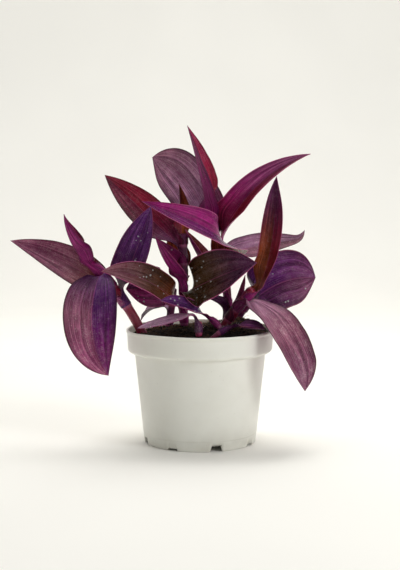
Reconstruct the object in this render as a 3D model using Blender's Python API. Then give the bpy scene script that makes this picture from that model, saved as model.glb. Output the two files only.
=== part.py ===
"""A potted purple-heart tradescantia: a moulded nursery pot, its potting mix, the stems and every leaf.

Each leaf is one sheet of tissue.  It starts as a sheath rolled round its stem, opens out at the
sheath's mouth and becomes a lance-shaped blade folded along its midrib.  Lengths are in millimetres
until a mesh is made, where MM turns them into metres.  Headings are degrees from +X towards +Y.
The pot's axis is Z, and the flat middle of its underside rests on Z = 0.
"""

import math
from collections import namedtuple

import bpy
import numpy as np

MM = 0.001
GAP = 0.3  # clearance between pieces that touch

# --- Pot -------------------------------------------------------------------------------------
POT_HEIGHT = 93.0
RIM_RADIUS = 60.0  # outer radius at the lip
LIP_BEAD = 0.7  # how far the rolled lip stands out
BAND_HEIGHT = 18.4
BAND_LOW_RADIUS = 58.9  # outer radius at the lower corner of the rim band
BAND_CORNER = 2.0  # size of that corner's rounding
WALL_TOP_RADIUS = 53.3  # outer radius just under the band
FOOT_RADIUS = 45.5
FOOT_CORNER = 0.9
WALL = 1.2
PAD_RADIUS = 29.0  # flat middle of the underside
CHANNEL_INNER = 32.0  # raised drainage channel round the pad
CHANNEL_OUTER = 41.5
CHANNEL_HEIGHT = 3.4
TURN_STEPS = 48

# Drainage notches through the foot, tall and low by turns: width at the foot, width at the top, height.
NOTCH_COUNT = 8
NOTCH_HEADING = -73.5  # heading of the first, tall notch
TALL_NOTCH = (10.5, 7.5, 5.4)
LOW_NOTCH = (9.5, 8.0, 2.0)

# --- Potting mix -----------------------------------------------------------------------------
SOIL_EDGE = 87.0  # height of the mix where it meets the band
SOIL_CROWN = 95.0  # height in the middle
SOIL_RINGS = 6
STEM_DEPTH = 10.0  # how deep each stem is planted

# --- Stems -----------------------------------------------------------------------------------
# x and y of the foot; heading of the lean; lean from upright at the foot and lean gained on the way up;
# length above the mix; radius.
Stem = namedtuple("Stem", "name x y heading lean bend length radius")
STEMS = (
    Stem("stem_left", -47, -5, 186, 26, 18, 68, 4.0),
    Stem("stem_middle", -13, 3, 250, 4, -6, 76, 3.3),
    Stem("stem_short", -26, 18, 20, 12, -8, 32, 2.8),
    Stem("stem_back", 22, 14, 180, -6, 30, 86, 3.3),
    Stem("stem_right", 19, 2, -18, 36, 6, 41, 3.9),
    Stem("stem_right_behind", 28, 28, -10, 30, 6, 26, 3.0),
    Stem("stem_stub", -1, -30, 90, 1, 0, 10, 2.6),
    Stem("stem_low", 17, -15, 178, 38, 5, 13, 2.2),
    Stem("stem_seedling", 12, -36, 2, 50, 18, 13, 2.0),
)
STEM_SIDES = 10
STEM_STEP = 6.0  # spacing of the rings along a stem

# --- Leaves ----------------------------------------------------------------------------------
# node: how far up the stem the sheath starts; heading and rise: the direction in which the blade sets
# off; length and width of the blade; droop: fall in degrees over the blade; sweep: turn to the left over
# the blade; roll: tilt about the midrib; fold: slope of the V at the midrib; curl: slope that each half
# gains towards its edge; widest: where the blade is widest, in percent of its length; base and tip: how
# full the blade is at each end; hook and bend: turn within the blade's own plane, over the last fifth and
# over all of it; settle: percent of the blade over which its roll is reached.
Leaf = namedtuple(
    "Leaf",
    "name stem node heading rise length width droop sweep roll fold curl widest base tip hook bend "
    "settle tone",
)
LEAVES = (
    Leaf("leaf_left_upright", "stem_left", 26, 14, 67, 65, 33, -4, 0, 60, 24, 20, 36,
         2.6, 2.2, 0, 2, 25, "violet"),
    Leaf("leaf_left_long", "stem_left", 28, 168, 37, 90, 32, 23, 0, -64, 14, 20, 34,
         1.8, 1.8, 0, 0, 25, "dusty"),
    Leaf("leaf_left_drooping", "stem_left", 45, 256, -36, 84, 48, 66, 0, -10, 18, 22, 44,
         2.0, 2.4, 0, 32, 30, "plum"),
    Leaf("leaf_left_young", "stem_left", 59, 225, 37, 43, 25, -45, 0, -50, 56, 20, 38,
         2.6, 1.5, -30, 0, 30, "crimson"),
    Leaf("leaf_middle_front_left", "stem_middle", 3, 211, 46, 77, 28, 45, 8, -68, 16, 22, 40,
         2.8, 2.1, 0, 0, 20, "olive"),
    Leaf("leaf_middle_front_right", "stem_middle", 14, 331, 28, 67, 46, 12, -14, 71, 18, 18, 38,
         3.6, 2.2, 0, 0, 14, "olive"),
    Leaf("leaf_middle_dark", "stem_middle", 26, 232, 27, 42, 32, -43, 0, -55, 46, 15, 34,
         2.4, 1.9, 0, 0, 30, "violet"),
    Leaf("leaf_middle_rusty", "stem_middle", 37, 112, 51, 32, 20, -22, 0, -30, 26, 20, 38,
         2.6, 1.9, 0, 0, 30, "rusty"),
    Leaf("leaf_middle_far_left", "stem_middle", 52, 156, 40, 83, 32, 0, 0, -55, 20, 15, 42,
         2.4, 1.9, 0, 0, 25, "crimson"),
    Leaf("leaf_middle_young", "stem_middle", 67, 112, 87, 30, 22, 0, 0, 0, 60, 20, 38,
         2.6, 1.4, 0, 8, 30, "rusty"),
    Leaf("leaf_short_back", "stem_short", 1, 141, 5, 30, 18, 60, 0, -30, 18, 20, 38,
         2.6, 1.9, 0, 0, 30, "dusty"),
    Leaf("leaf_short_left", "stem_short", 18, 196, -4, 32, 36, -6, 10, -72, 10, 16, 45,
         3.2, 2.4, 0, 0, 18, "magenta"),
    Leaf("leaf_back_low", "stem_back", 2, 222, 25, 21, 16, 0, 0, 0, 30, 20, 38,
         2.6, 1.9, 0, 0, 30, "violet"),
    Leaf("leaf_back_inner", "stem_back", 16, 204, 46, 56, 22, -20, 0, -45, 44, 20, 45,
         2.4, 1.7, 0, 0, 30, "violet"),
    Leaf("leaf_back_far_right", "stem_back", 44, 58, 7, 84, 23, 0, -56, 60, 20, 15, 40,
         2.4, 1.9, 60, 0, 30, "dusty"),
    Leaf("leaf_back_arching", "stem_back", 38, 284, 32, 118, 36, 13, -114, -58, 12, 20, 32,
         2.4, 1.7, 0, 0, 50, "magenta"),
    Leaf("leaf_back_long_right", "stem_back", 58, 0, 69, 98, 36, 50, 0, 65, 45, 20, 28,
         2.4, 1.6, 0, 0, 30, "crimson"),
    Leaf("leaf_back_wide", "stem_back", 62, 140, 70, 88, 43, 30, 0, -68, 10, 15, 50,
         2.4, 3.0, 0, 28, 45, "dusty"),
    Leaf("leaf_back_tall", "stem_back", 77, 257, 62, 78, 32, -5, -30, -76, 40, 15, 38,
         1.6, 1.4, 0, 0, 30, "crimson"),
    Leaf("leaf_low_arched", "stem_low", 4, 192, 24, 33, 18, 10, 0, -35, 26, 20, 50,
         2.6, 2.8, 0, 0, 30, "violet"),
    Leaf("leaf_right_narrow", "stem_right", 8, 150, 111, 19, 9, 0, 30, 0, 60, 20, 38,
         2.6, 1.9, 0, 0, 30, "crimson"),
    Leaf("leaf_right_drooping", "stem_right", 18, 324, -42, 81, 52, 22, 0, 0, 18, 16, 45,
         3.0, 3.6, 0, 0, 30, "dusty"),
    Leaf("leaf_right_upright", "stem_right", 31, 21, 69, 86, 27, -26, 0, 55, 44, 18, 50,
         2.2, 2.2, -8, 0, 30, "plum"),
    Leaf("leaf_right_round", "stem_right_behind", 16, 358, 45, 49, 52, 50, 0, 66, 10, 15, 45,
         3.4, 4.0, 0, 0, 14, "violet"),
    Leaf("leaf_stub_speckled", "stem_stub", 1, 185, -20, 40, 19, -12, 0, -12, 8, 10, 55,
         3.0, 2.4, 0, 0, 30, "pink"),
    Leaf("leaf_seedling", "stem_seedling", 5, 350, -6, 17, 20, 0, 0, 12, 12, 16, 55,
         2.6, 2.4, 0, 0, 30, "plum"),
)

SHEATH = 8.0  # length of the rolled sheath
TURN = 11.0  # length over which the midrib leaves the stem and the sheath opens out
CLASP = 66.0  # half the angle that the sheath covers round the stem, in degrees
LEAF_MID = 1.2  # thickness at the midrib
LEAF_EDGE = 0.7
TIP_HALF_WIDTH = 0.4
BLADE_CELLS = 10
ACROSS_CELLS = 6

# --- Colours (linear) and roughness ----------------------------------------------------------
TONES = {
    "violet": ((0.070, 0.021, 0.127), 0.40),
    "dusty": ((0.305, 0.156, 0.243), 0.50),
    "plum": ((0.114, 0.038, 0.102), 0.45),
    "crimson": ((0.205, 0.005, 0.045), 0.40),
    "magenta": ((0.171, 0.005, 0.114), 0.35),
    "olive": ((0.080, 0.032, 0.026), 0.40),
    "rusty": ((0.156, 0.032, 0.010), 0.45),
    "pink": ((0.515, 0.223, 0.429), 0.50),
    "stem": ((0.262, 0.005, 0.053), 0.40),
    "pot": ((0.776, 0.776, 0.716), 0.45),
    "soil": ((0.045, 0.026, 0.017), 1.00),
}


def clear_scene():
    """Remove whatever the file opened with."""
    for thing in list(bpy.data.objects):
        bpy.data.objects.remove(thing, do_unlink=True)


def material(name, tone):
    """One Principled material for one piece."""
    colour, roughness = TONES[tone]
    made = bpy.data.materials.new(name)
    made.use_nodes = True
    shader = made.node_tree.nodes["Principled BSDF"]
    shader.inputs["Base Color"].default_value = (*colour, 1.0)
    shader.inputs["Roughness"].default_value = roughness
    shader.inputs["Metallic"].default_value = 0.0
    made.diffuse_color = (*colour, 1.0)
    return made


def add_object(name, points, faces, tone, sharp_degrees=50.0):
    """A smooth-shaded object from points in millimetres and faces that run anticlockwise from outside."""
    mesh = bpy.data.meshes.new(name)
    mesh.from_pydata((np.asarray(points) * MM).tolist(), [], [list(map(int, face)) for face in faces])
    mesh.shade_smooth()
    mesh.set_sharp_from_angle(angle=math.radians(sharp_degrees))
    made = bpy.data.objects.new(name, mesh)
    bpy.context.scene.collection.objects.link(made)
    mesh.materials.append(material(name, tone))
    return made


def cut(target, cutters):
    """Subtract each cutter from the target, then hide the cutters."""
    for cutter in cutters:
        step = target.modifiers.new("cut_" + cutter.name, "BOOLEAN")
        step.operation = "DIFFERENCE"
        step.object = cutter
        cutter.hide_render = True
        cutter.display_type = "WIRE"


def unit(vectors):
    """Each vector divided by its length."""
    return vectors / np.linalg.norm(vectors, axis=-1, keepdims=True)


def smooth(share):
    """An S-shaped step from 0 to 1 while the share goes from 0 to 1."""
    share = np.clip(share, 0.0, 1.0)
    return share * share * (3.0 - 2.0 * share)


def turned(profile):
    """Points and faces of a profile turned about Z; its first and last points lie on the axis."""
    radii = np.array([radius for radius, _height in profile[1:-1]])
    heights = np.array([height for _radius, height in profile[1:-1]])
    angles = np.arange(TURN_STEPS) * 2 * math.pi / TURN_STEPS
    rings = np.stack(
        [
            radii[:, None] * np.cos(angles),
            radii[:, None] * np.sin(angles),
            np.broadcast_to(heights[:, None], (len(radii), TURN_STEPS)),
        ],
        axis=-1,
    ).reshape(-1, 3)
    poles = [(0.0, 0.0, profile[0][1]), (0.0, 0.0, profile[-1][1])]
    index = np.arange(len(radii) * TURN_STEPS).reshape(len(radii), TURN_STEPS)
    after = np.roll(index, -1, axis=1)
    quads = np.stack([index[:-1], after[:-1], after[1:], index[1:]], axis=-1).reshape(-1, 4)
    first, last = len(rings), len(rings) + 1
    faces = [tuple(quad) for quad in quads]
    faces += [(first, b, a) for a, b in zip(index[0], after[0])]
    faces += [(last, a, b) for a, b in zip(index[-1], after[-1])]
    return np.concatenate([rings, poles]), faces


def wall_radius(height):
    """Outer radius of the tapering wall below the band."""
    return FOOT_RADIUS + (WALL_TOP_RADIUS - FOOT_RADIUS) * height / (POT_HEIGHT - BAND_HEIGHT)


def pot_profile():
    """The moulding's section: underside, outside, lip, inside and floor."""
    band_low = POT_HEIGHT - BAND_HEIGHT
    floor = CHANNEL_HEIGHT + WALL
    return [
        (0.0, 0.0),
        (PAD_RADIUS, 0.0),
        (CHANNEL_INNER, CHANNEL_HEIGHT),
        (CHANNEL_OUTER, CHANNEL_HEIGHT),
        (CHANNEL_OUTER + 1.8, 0.0),
        (FOOT_RADIUS - FOOT_CORNER, 0.0),
        (FOOT_RADIUS, FOOT_CORNER),
        (wall_radius(band_low / 2), band_low / 2),
        (WALL_TOP_RADIUS, band_low - 1.2),
        (WALL_TOP_RADIUS + 0.6, band_low - 0.2),
        (BAND_LOW_RADIUS - BAND_CORNER, band_low),
        (BAND_LOW_RADIUS - BAND_CORNER * 0.3, band_low + BAND_CORNER * 0.3),
        (BAND_LOW_RADIUS, band_low + BAND_CORNER),
        (RIM_RADIUS - LIP_BEAD * 0.6, POT_HEIGHT - 2.4),
        (RIM_RADIUS, POT_HEIGHT - 1.4),
        (RIM_RADIUS - LIP_BEAD * 0.3, POT_HEIGHT - 0.4),
        (RIM_RADIUS - WALL * 0.7, POT_HEIGHT),
        (RIM_RADIUS - WALL * 1.4, POT_HEIGHT - 0.5),
        (BAND_LOW_RADIUS - WALL, band_low + WALL + BAND_CORNER * 0.5),
        (BAND_LOW_RADIUS - WALL - BAND_CORNER * 0.5, band_low + WALL),
        (WALL_TOP_RADIUS - WALL * 0.5, band_low + WALL * 0.6),
        (WALL_TOP_RADIUS - WALL, band_low - WALL),
        (wall_radius(floor) - WALL, floor + 0.8),
        (wall_radius(floor) - WALL - 0.8, floor),
        (CHANNEL_INNER - WALL * 0.4, floor),
        (PAD_RADIUS - WALL * 0.4, WALL),
        (0.0, WALL),
    ]


def add_notch_cutter(number, low_width, high_width, height):
    """A wedge that cuts one drainage notch through the foot of the wall."""
    inner, outer = CHANNEL_OUTER - 1.0, FOOT_RADIUS + 4.0
    below = -2.0
    spread = (low_width - high_width) / 2 / height
    corners = []
    for radius in (inner, outer):
        for level in (below, height):
            half = high_width / 2 + spread * (height - level)
            corners += [(radius, -half, level), (radius, half, level)]
    turn = math.radians(NOTCH_HEADING + number * 360.0 / NOTCH_COUNT)
    corners = np.array(corners)
    points = np.stack(
        [
            corners[:, 0] * math.cos(turn) - corners[:, 1] * math.sin(turn),
            corners[:, 0] * math.sin(turn) + corners[:, 1] * math.cos(turn),
            corners[:, 2],
        ],
        axis=-1,
    )
    faces = [(0, 2, 3, 1), (4, 5, 7, 6), (0, 1, 5, 4), (2, 6, 7, 3), (0, 4, 6, 2), (1, 3, 7, 5)]
    return add_object(f"notch_cutter_{number}", points, faces, "pot")


def add_pot():
    """The moulded nursery pot with its eight drainage notches."""
    pot = add_object("pot", *turned(pot_profile()), "pot", sharp_degrees=35.0)
    cutters = []
    for number in range(NOTCH_COUNT):
        sizes = TALL_NOTCH if number % 2 == 0 else LOW_NOTCH
        cutters.append(add_notch_cutter(number, *sizes))
    cut(pot, cutters)
    return pot


def soil_height(radius):
    """Height of the mix at a distance from the pot's axis: a low dome."""
    share = np.clip(np.asarray(radius) / RIM_RADIUS, 0.0, 1.0)
    return SOIL_EDGE + (SOIL_CROWN - SOIL_EDGE) * np.cos(share * math.pi / 2)


def soil_profile():
    """The mix's section: it follows the pot's inside at a small clearance and is domed on top."""
    band_low = POT_HEIGHT - BAND_HEIGHT
    floor = CHANNEL_HEIGHT + WALL + GAP
    step_top = band_low + WALL + GAP
    edge = BAND_LOW_RADIUS - WALL - GAP
    side = [
        (0.0, WALL + GAP),
        (PAD_RADIUS - WALL * 0.4 - GAP, WALL + GAP),
        (CHANNEL_INNER - WALL * 0.4 - GAP, floor),
        (wall_radius(floor) - WALL - 0.8 - GAP, floor),
        (wall_radius(floor) - WALL - GAP, floor + 0.8),
        (WALL_TOP_RADIUS - WALL - GAP, band_low - WALL),
        (WALL_TOP_RADIUS - WALL * 0.5 - GAP, step_top),
        (BAND_LOW_RADIUS - WALL - BAND_CORNER * 0.5 - GAP, step_top),
        (edge, band_low + WALL + BAND_CORNER * 0.5 + GAP),
    ]
    radii = edge * np.linspace(1.0, 0.0, SOIL_RINGS)
    top = [(float(radius), float(soil_height(radius))) for radius in radii]
    return side + top


def add_soil():
    """The potting mix, with a hole for each stem."""
    soil = add_object("potting_mix", *turned(soil_profile()), "soil", sharp_degrees=35.0)
    cutters = []
    for stem in STEMS:
        along = np.array([-STEM_DEPTH - GAP, -STEM_DEPTH / 2, 0.0, 8.0])
        points, faces = tube(stem, along, stem.radius + GAP, 0.0)
        cutters.append(add_object(stem.name + "_hole", points, faces, "soil"))
    cut(soil, cutters)
    return soil


def stem_line(stem, along):
    """Points and directions on a stem at distances from the mix; below it the stem keeps straight."""
    fine = np.linspace(-STEM_DEPTH - 2.0, stem.length, 200)
    lean = np.radians(stem.lean + stem.bend * np.clip(fine / stem.length, 0.0, 1.0))
    turn = math.radians(stem.heading)
    ways = np.stack(
        [np.sin(lean) * math.cos(turn), np.sin(lean) * math.sin(turn), np.cos(lean)], axis=1
    )
    steps = (ways[1:] + ways[:-1]) / 2 * np.diff(fine)[:, None]
    line = np.concatenate([np.zeros((1, 3)), np.cumsum(steps, axis=0)])
    foot = np.array([stem.x, stem.y, soil_height(math.hypot(stem.x, stem.y))])
    line += foot - [np.interp(0.0, fine, line[:, k]) for k in range(3)]
    points = np.stack([np.interp(along, fine, line[:, k]) for k in range(3)], axis=-1)
    found = np.stack([np.interp(along, fine, ways[:, k]) for k in range(3)], axis=-1)
    return points, unit(found)


def tube(stem, along, radius, dome):
    """Points and faces of a closed tube round a stem's line, its upper end drawn in by the dome."""
    centres, ways = stem_line(stem, along)
    turn = math.radians(stem.heading)
    across = np.array([-math.sin(turn), math.cos(turn), 0.0])
    ahead = np.cross(ways, across)
    angles = (np.arange(STEM_SIDES) + 0.5) * 2 * math.pi / STEM_SIDES
    radii = np.full(len(along), radius)
    radii[-1] -= dome
    spokes = across * np.cos(angles)[None, :, None] + ahead[:, None] * np.sin(angles)[None, :, None]
    points = (centres[:, None] + spokes * radii[:, None, None]).reshape(-1, 3)
    index = np.arange(len(points)).reshape(len(along), STEM_SIDES)
    after = np.roll(index, -1, axis=1)
    quads = np.stack([index[:-1], after[:-1], after[1:], index[1:]], axis=-1).reshape(-1, 4)
    faces = [tuple(quad) for quad in quads] + [tuple(index[0][::-1]), tuple(index[-1])]
    return points, faces


def add_stem(stem):
    """One stem, planted in the mix, with a rounded upper end."""
    dome = stem.radius * 0.4
    count = max(2, round((stem.length + STEM_DEPTH) / STEM_STEP))
    along = np.append(np.linspace(-STEM_DEPTH, stem.length - dome, count + 1), stem.length)
    points, faces = tube(stem, along, stem.radius, dome)
    return add_object(stem.name, points, faces, "stem")


def blade_frame(heading, rise, roll):
    """Forward, sideways and upward vectors of a blade from its heading, rise and roll in degrees."""
    heading, rise, roll = np.radians(heading), np.radians(rise), np.radians(roll)
    across = np.stack([-np.sin(heading), np.cos(heading), np.zeros_like(heading)], axis=-1)
    level = np.stack([np.cos(heading), np.sin(heading), np.zeros_like(heading)], axis=-1)
    ahead = level * np.cos(rise)[..., None]
    ahead[..., 2] = np.sin(rise)
    upper = np.cross(ahead, across)
    sideways = across * np.cos(roll)[..., None] + upper * np.sin(roll)[..., None]
    return ahead, sideways, np.cross(ahead, sideways)


def sheath_radius(stem):
    """Radius of the sheet's middle surface where it is rolled round the stem."""
    return stem.radius / math.cos(math.pi / STEM_SIDES) + 2 * GAP + LEAF_MID / 2


def leaf_midrib(leaf, stem, along):
    """Points and frames on a leaf's midrib at distances from its node."""
    node, stem_way = stem_line(stem, float(leaf.node))
    turn = math.radians(leaf.heading)
    out = np.array([math.cos(turn), math.sin(turn), 0.0])
    side = unit(out - stem_way * (out @ stem_way))
    fine = np.linspace(0.0, SHEATH + TURN + leaf.length, 300)
    share = np.clip((fine - SHEATH - TURN / 2) / (leaf.length + TURN / 2), 0.0, 1.0)
    forward, aside, _upward = blade_frame(
        leaf.heading + leaf.sweep * share,
        leaf.rise - leaf.droop * share,
        leaf.roll * smooth(share * 100 / leaf.settle),
    )
    bend = np.radians(leaf.bend * share**2 + leaf.hook * smooth((share - 0.8) / 0.2))[:, None]
    mix = smooth((fine - SHEATH) / TURN)[:, None]
    ahead = forward * np.cos(bend) + aside * np.sin(bend)
    ahead = unit(stem_way * (1 - mix) + ahead * mix)
    across = aside * np.cos(bend) - forward * np.sin(bend)
    across = np.cross(-side, stem_way) * (1 - mix) + across * mix
    across = unit(across - ahead * np.sum(across * ahead, axis=1, keepdims=True))
    upper = np.cross(ahead, across)
    steps = (ahead[1:] + ahead[:-1]) / 2 * np.diff(fine)[:, None]
    line = np.concatenate([np.zeros((1, 3)), np.cumsum(steps, axis=0)])
    line += node + side * sheath_radius(stem)
    return [
        np.stack([np.interp(along, fine, part[:, k]) for k in range(3)], axis=-1)
        for part in (line, across, upper)
    ]


def half_width(leaf, stem, along):
    """Half the width of the flattened sheet: the sheath's at first, then the lance-shaped blade's."""
    clasp = math.radians(CLASP) * sheath_radius(stem)
    share = np.clip((along - SHEATH - TURN * 0.3) / (leaf.length + TURN * 0.7), 0.0, 1.0)
    widest = leaf.widest / 100
    narrow = 1.0 - 2 * clasp / leaf.width
    before = 1.0 - narrow * np.clip(1.0 - share / widest, 0.0, 1.0) ** leaf.base
    after = 1.0 - np.clip((share - widest) / (1.0 - widest), 0.0, 1.0) ** leaf.tip
    blade = leaf.width / 2 * np.where(share < widest, before, after)
    return np.maximum(blade, TIP_HALF_WIDTH)


def running_sum(values, step):
    """Trapezium-rule integral along the last axis, starting from zero."""
    areas = (values[:, 1:] + values[:, :-1]) / 2 * step
    return np.concatenate([np.zeros((len(values), 1)), np.cumsum(areas, axis=1)], axis=1)


def section(leaf, stem, along, across):
    """Sideways offset, upward offset and slope of the sheet at each station and share of its width."""
    width = half_width(leaf, stem, along)[:, None]
    opened = smooth((along - SHEATH) / (TURN * 0.7))[:, None]
    folded = smooth((along - SHEATH - TURN * 0.5) / (TURN * 0.5 + leaf.length * 0.25))[:, None]
    crease = np.radians(leaf.fold) * folded
    curl = np.radians(CLASP) * (1 - opened) + np.radians(leaf.curl) * opened
    fine = np.linspace(0.0, 1.0, 41)
    slope = crease * np.tanh(fine / 0.15) + curl * fine
    flat = running_sum(np.cos(slope), fine[1])
    up = running_sum(np.sin(slope), fine[1])
    side = np.sign(across)
    sampled = [
        np.stack([np.interp(np.abs(across), fine, row) for row in rows]) for rows in (flat, up, slope)
    ]
    return sampled[0] * side * width, sampled[1] * width, sampled[2] * side


def leaf_sheet(leaf, stem, along, across, lift):
    """A grid of points on the leaf, lift times half its thickness above the middle surface."""
    line, sideways, upper = leaf_midrib(leaf, stem, along)
    x, z, slope = section(leaf, stem, along, across)
    thick = LEAF_MID + (LEAF_EDGE - LEAF_MID) * across**2
    x = x - np.sin(slope) * lift * thick / 2
    z = z + np.cos(slope) * lift * thick / 2
    return line[:, None] + x[..., None] * sideways[:, None] + z[..., None] * upper[:, None]


def leaf_stations(leaf):
    """Distances from the node: close together where the sheath opens, wide apart on the blade."""
    opening = SHEATH + TURN * np.array([0.35, 0.7, 1.0])
    blade = SHEATH + TURN + leaf.length * np.linspace(0.0, 1.0, BLADE_CELLS + 1)[1:]
    return np.concatenate([[0.0, SHEATH], opening, blade])


def leaf_mesh(leaf, stem):
    """Points and faces of the closed leaf: the upper grid, the lower grid and the strip between."""
    along = leaf_stations(leaf)
    across = np.linspace(-1.0, 1.0, ACROSS_CELLS + 1)
    upper = leaf_sheet(leaf, stem, along, across, 1.0)
    lower = leaf_sheet(leaf, stem, along, across, -1.0)
    rows, columns = len(along), len(across)
    index = np.arange(rows * columns).reshape(rows, columns)
    quads = np.stack([index[:-1, :-1], index[1:, :-1], index[1:, 1:], index[:-1, 1:]], axis=-1)
    top = quads.reshape(-1, 4)
    under = top[:, ::-1] + rows * columns
    rim = np.concatenate([index[0, :], index[1:, -1], index[-1, -2::-1], index[-2:0:-1, 0]])
    after = np.roll(rim, -1)
    strip = np.stack([rim, after, after + rows * columns, rim + rows * columns], axis=-1)
    points = np.concatenate([upper.reshape(-1, 3), lower.reshape(-1, 3)])
    return points, np.concatenate([top, under, strip])


def add_leaf(leaf):
    """One leaf with its sheath."""
    stem = next(stem for stem in STEMS if stem.name == leaf.stem)
    points, faces = leaf_mesh(leaf, stem)
    return add_object(leaf.name, points, faces, leaf.tone, sharp_degrees=80.0)


def main():
    """Build every piece of the potted plant."""
    clear_scene()
    add_pot()
    add_soil()
    for stem in STEMS:
        add_stem(stem)
    for leaf in LEAVES:
        add_leaf(leaf)


main()
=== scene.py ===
"""Finished surfaces for a potted purple-heart tradescantia: pot, mix, stems, leaves, hairs and dew.

Lengths are in millimetres and angles in degrees inside the surface formulas; MM turns them into metres
when a mesh is made.  Headings are degrees from +X towards +Y.
"""

import math
from collections import namedtuple
from itertools import combinations

import bpy
import numpy as np
from bpy.props import FloatProperty, FloatVectorProperty, IntProperty, PointerProperty
from bpy.types import Operator, Panel, PropertyGroup
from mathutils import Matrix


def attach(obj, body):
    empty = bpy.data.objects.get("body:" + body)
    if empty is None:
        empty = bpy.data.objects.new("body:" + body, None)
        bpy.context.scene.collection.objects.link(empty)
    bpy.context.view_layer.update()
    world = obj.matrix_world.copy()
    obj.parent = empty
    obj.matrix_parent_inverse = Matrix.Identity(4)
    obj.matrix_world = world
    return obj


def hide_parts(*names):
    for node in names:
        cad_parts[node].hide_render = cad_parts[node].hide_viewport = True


bl_info = {
    "name": "Potted Tradescantia",
    "version": (1, 0, 0),
    "blender": (4, 5, 0),
    "location": "3D Viewport > Sidebar > Plant",
    "description": "Builds a potted purple-heart tradescantia with its studio stage",
    "category": "Add Mesh",
}

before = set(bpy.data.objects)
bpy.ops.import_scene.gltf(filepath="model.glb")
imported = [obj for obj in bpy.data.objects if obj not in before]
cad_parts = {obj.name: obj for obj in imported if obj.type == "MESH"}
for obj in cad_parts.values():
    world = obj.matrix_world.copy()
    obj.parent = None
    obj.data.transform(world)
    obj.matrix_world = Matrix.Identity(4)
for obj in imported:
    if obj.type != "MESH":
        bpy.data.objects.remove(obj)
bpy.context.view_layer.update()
MM = 0.001
LEAF_PLACE = "leaf_place"  # attribute: across 0-1, along 0-1, upper face 1 or lower face 0
STEM_PLACE = "stem_place"  # attribute: around 0-1, millimetres along, nearness to a node 0-1
GRAIN_SHADE = "grain_shade"  # attribute: one random shade for each grain or fibre


def srgb(*display):
    """Linear colour from eight-bit display values, by the standard transfer curve."""
    share = np.array(display) / 255.0
    linear = np.where(share <= 0.04045, share / 12.92, ((share + 0.055) / 1.055) ** 2.4)
    return tuple(float(part) for part in linear)


# --- The plant's own layout ------------------------------------------------------------------

# x and y of the foot; heading of the lean; lean from upright at the foot and lean gained on the way up;
# length above the mix; radius; colour of the skin.
Stem = namedtuple("Stem", "name x y heading lean bend length radius skin")
STEMS = (
    Stem("stem_left", -47, -5, 186, 26, 18, 68, 4.0, "ruby"),
    Stem("stem_middle", -13, 3, 250, 4, -6, 76, 3.3, "plum"),
    Stem("stem_short", -26, 18, 20, 12, -8, 32, 2.8, "plum"),
    Stem("stem_back", 22, 14, 180, -6, 30, 86, 3.3, "wine"),
    Stem("stem_right", 19, 2, -18, 36, 6, 41, 3.9, "ruby"),
    Stem("stem_right_behind", 28, 28, -10, 30, 6, 26, 3.0, "plum"),
    Stem("stem_stub", -1, -30, 90, 1, 0, 10, 2.6, "ruby"),
    Stem("stem_low", 17, -15, 178, 38, 5, 13, 2.2, "plum"),
    Stem("stem_seedling", 12, -36, 2, 50, 18, 13, 2.0, "wine"),
)
STEM_DEPTH = 10.0  # how deep each stem is planted

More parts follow.
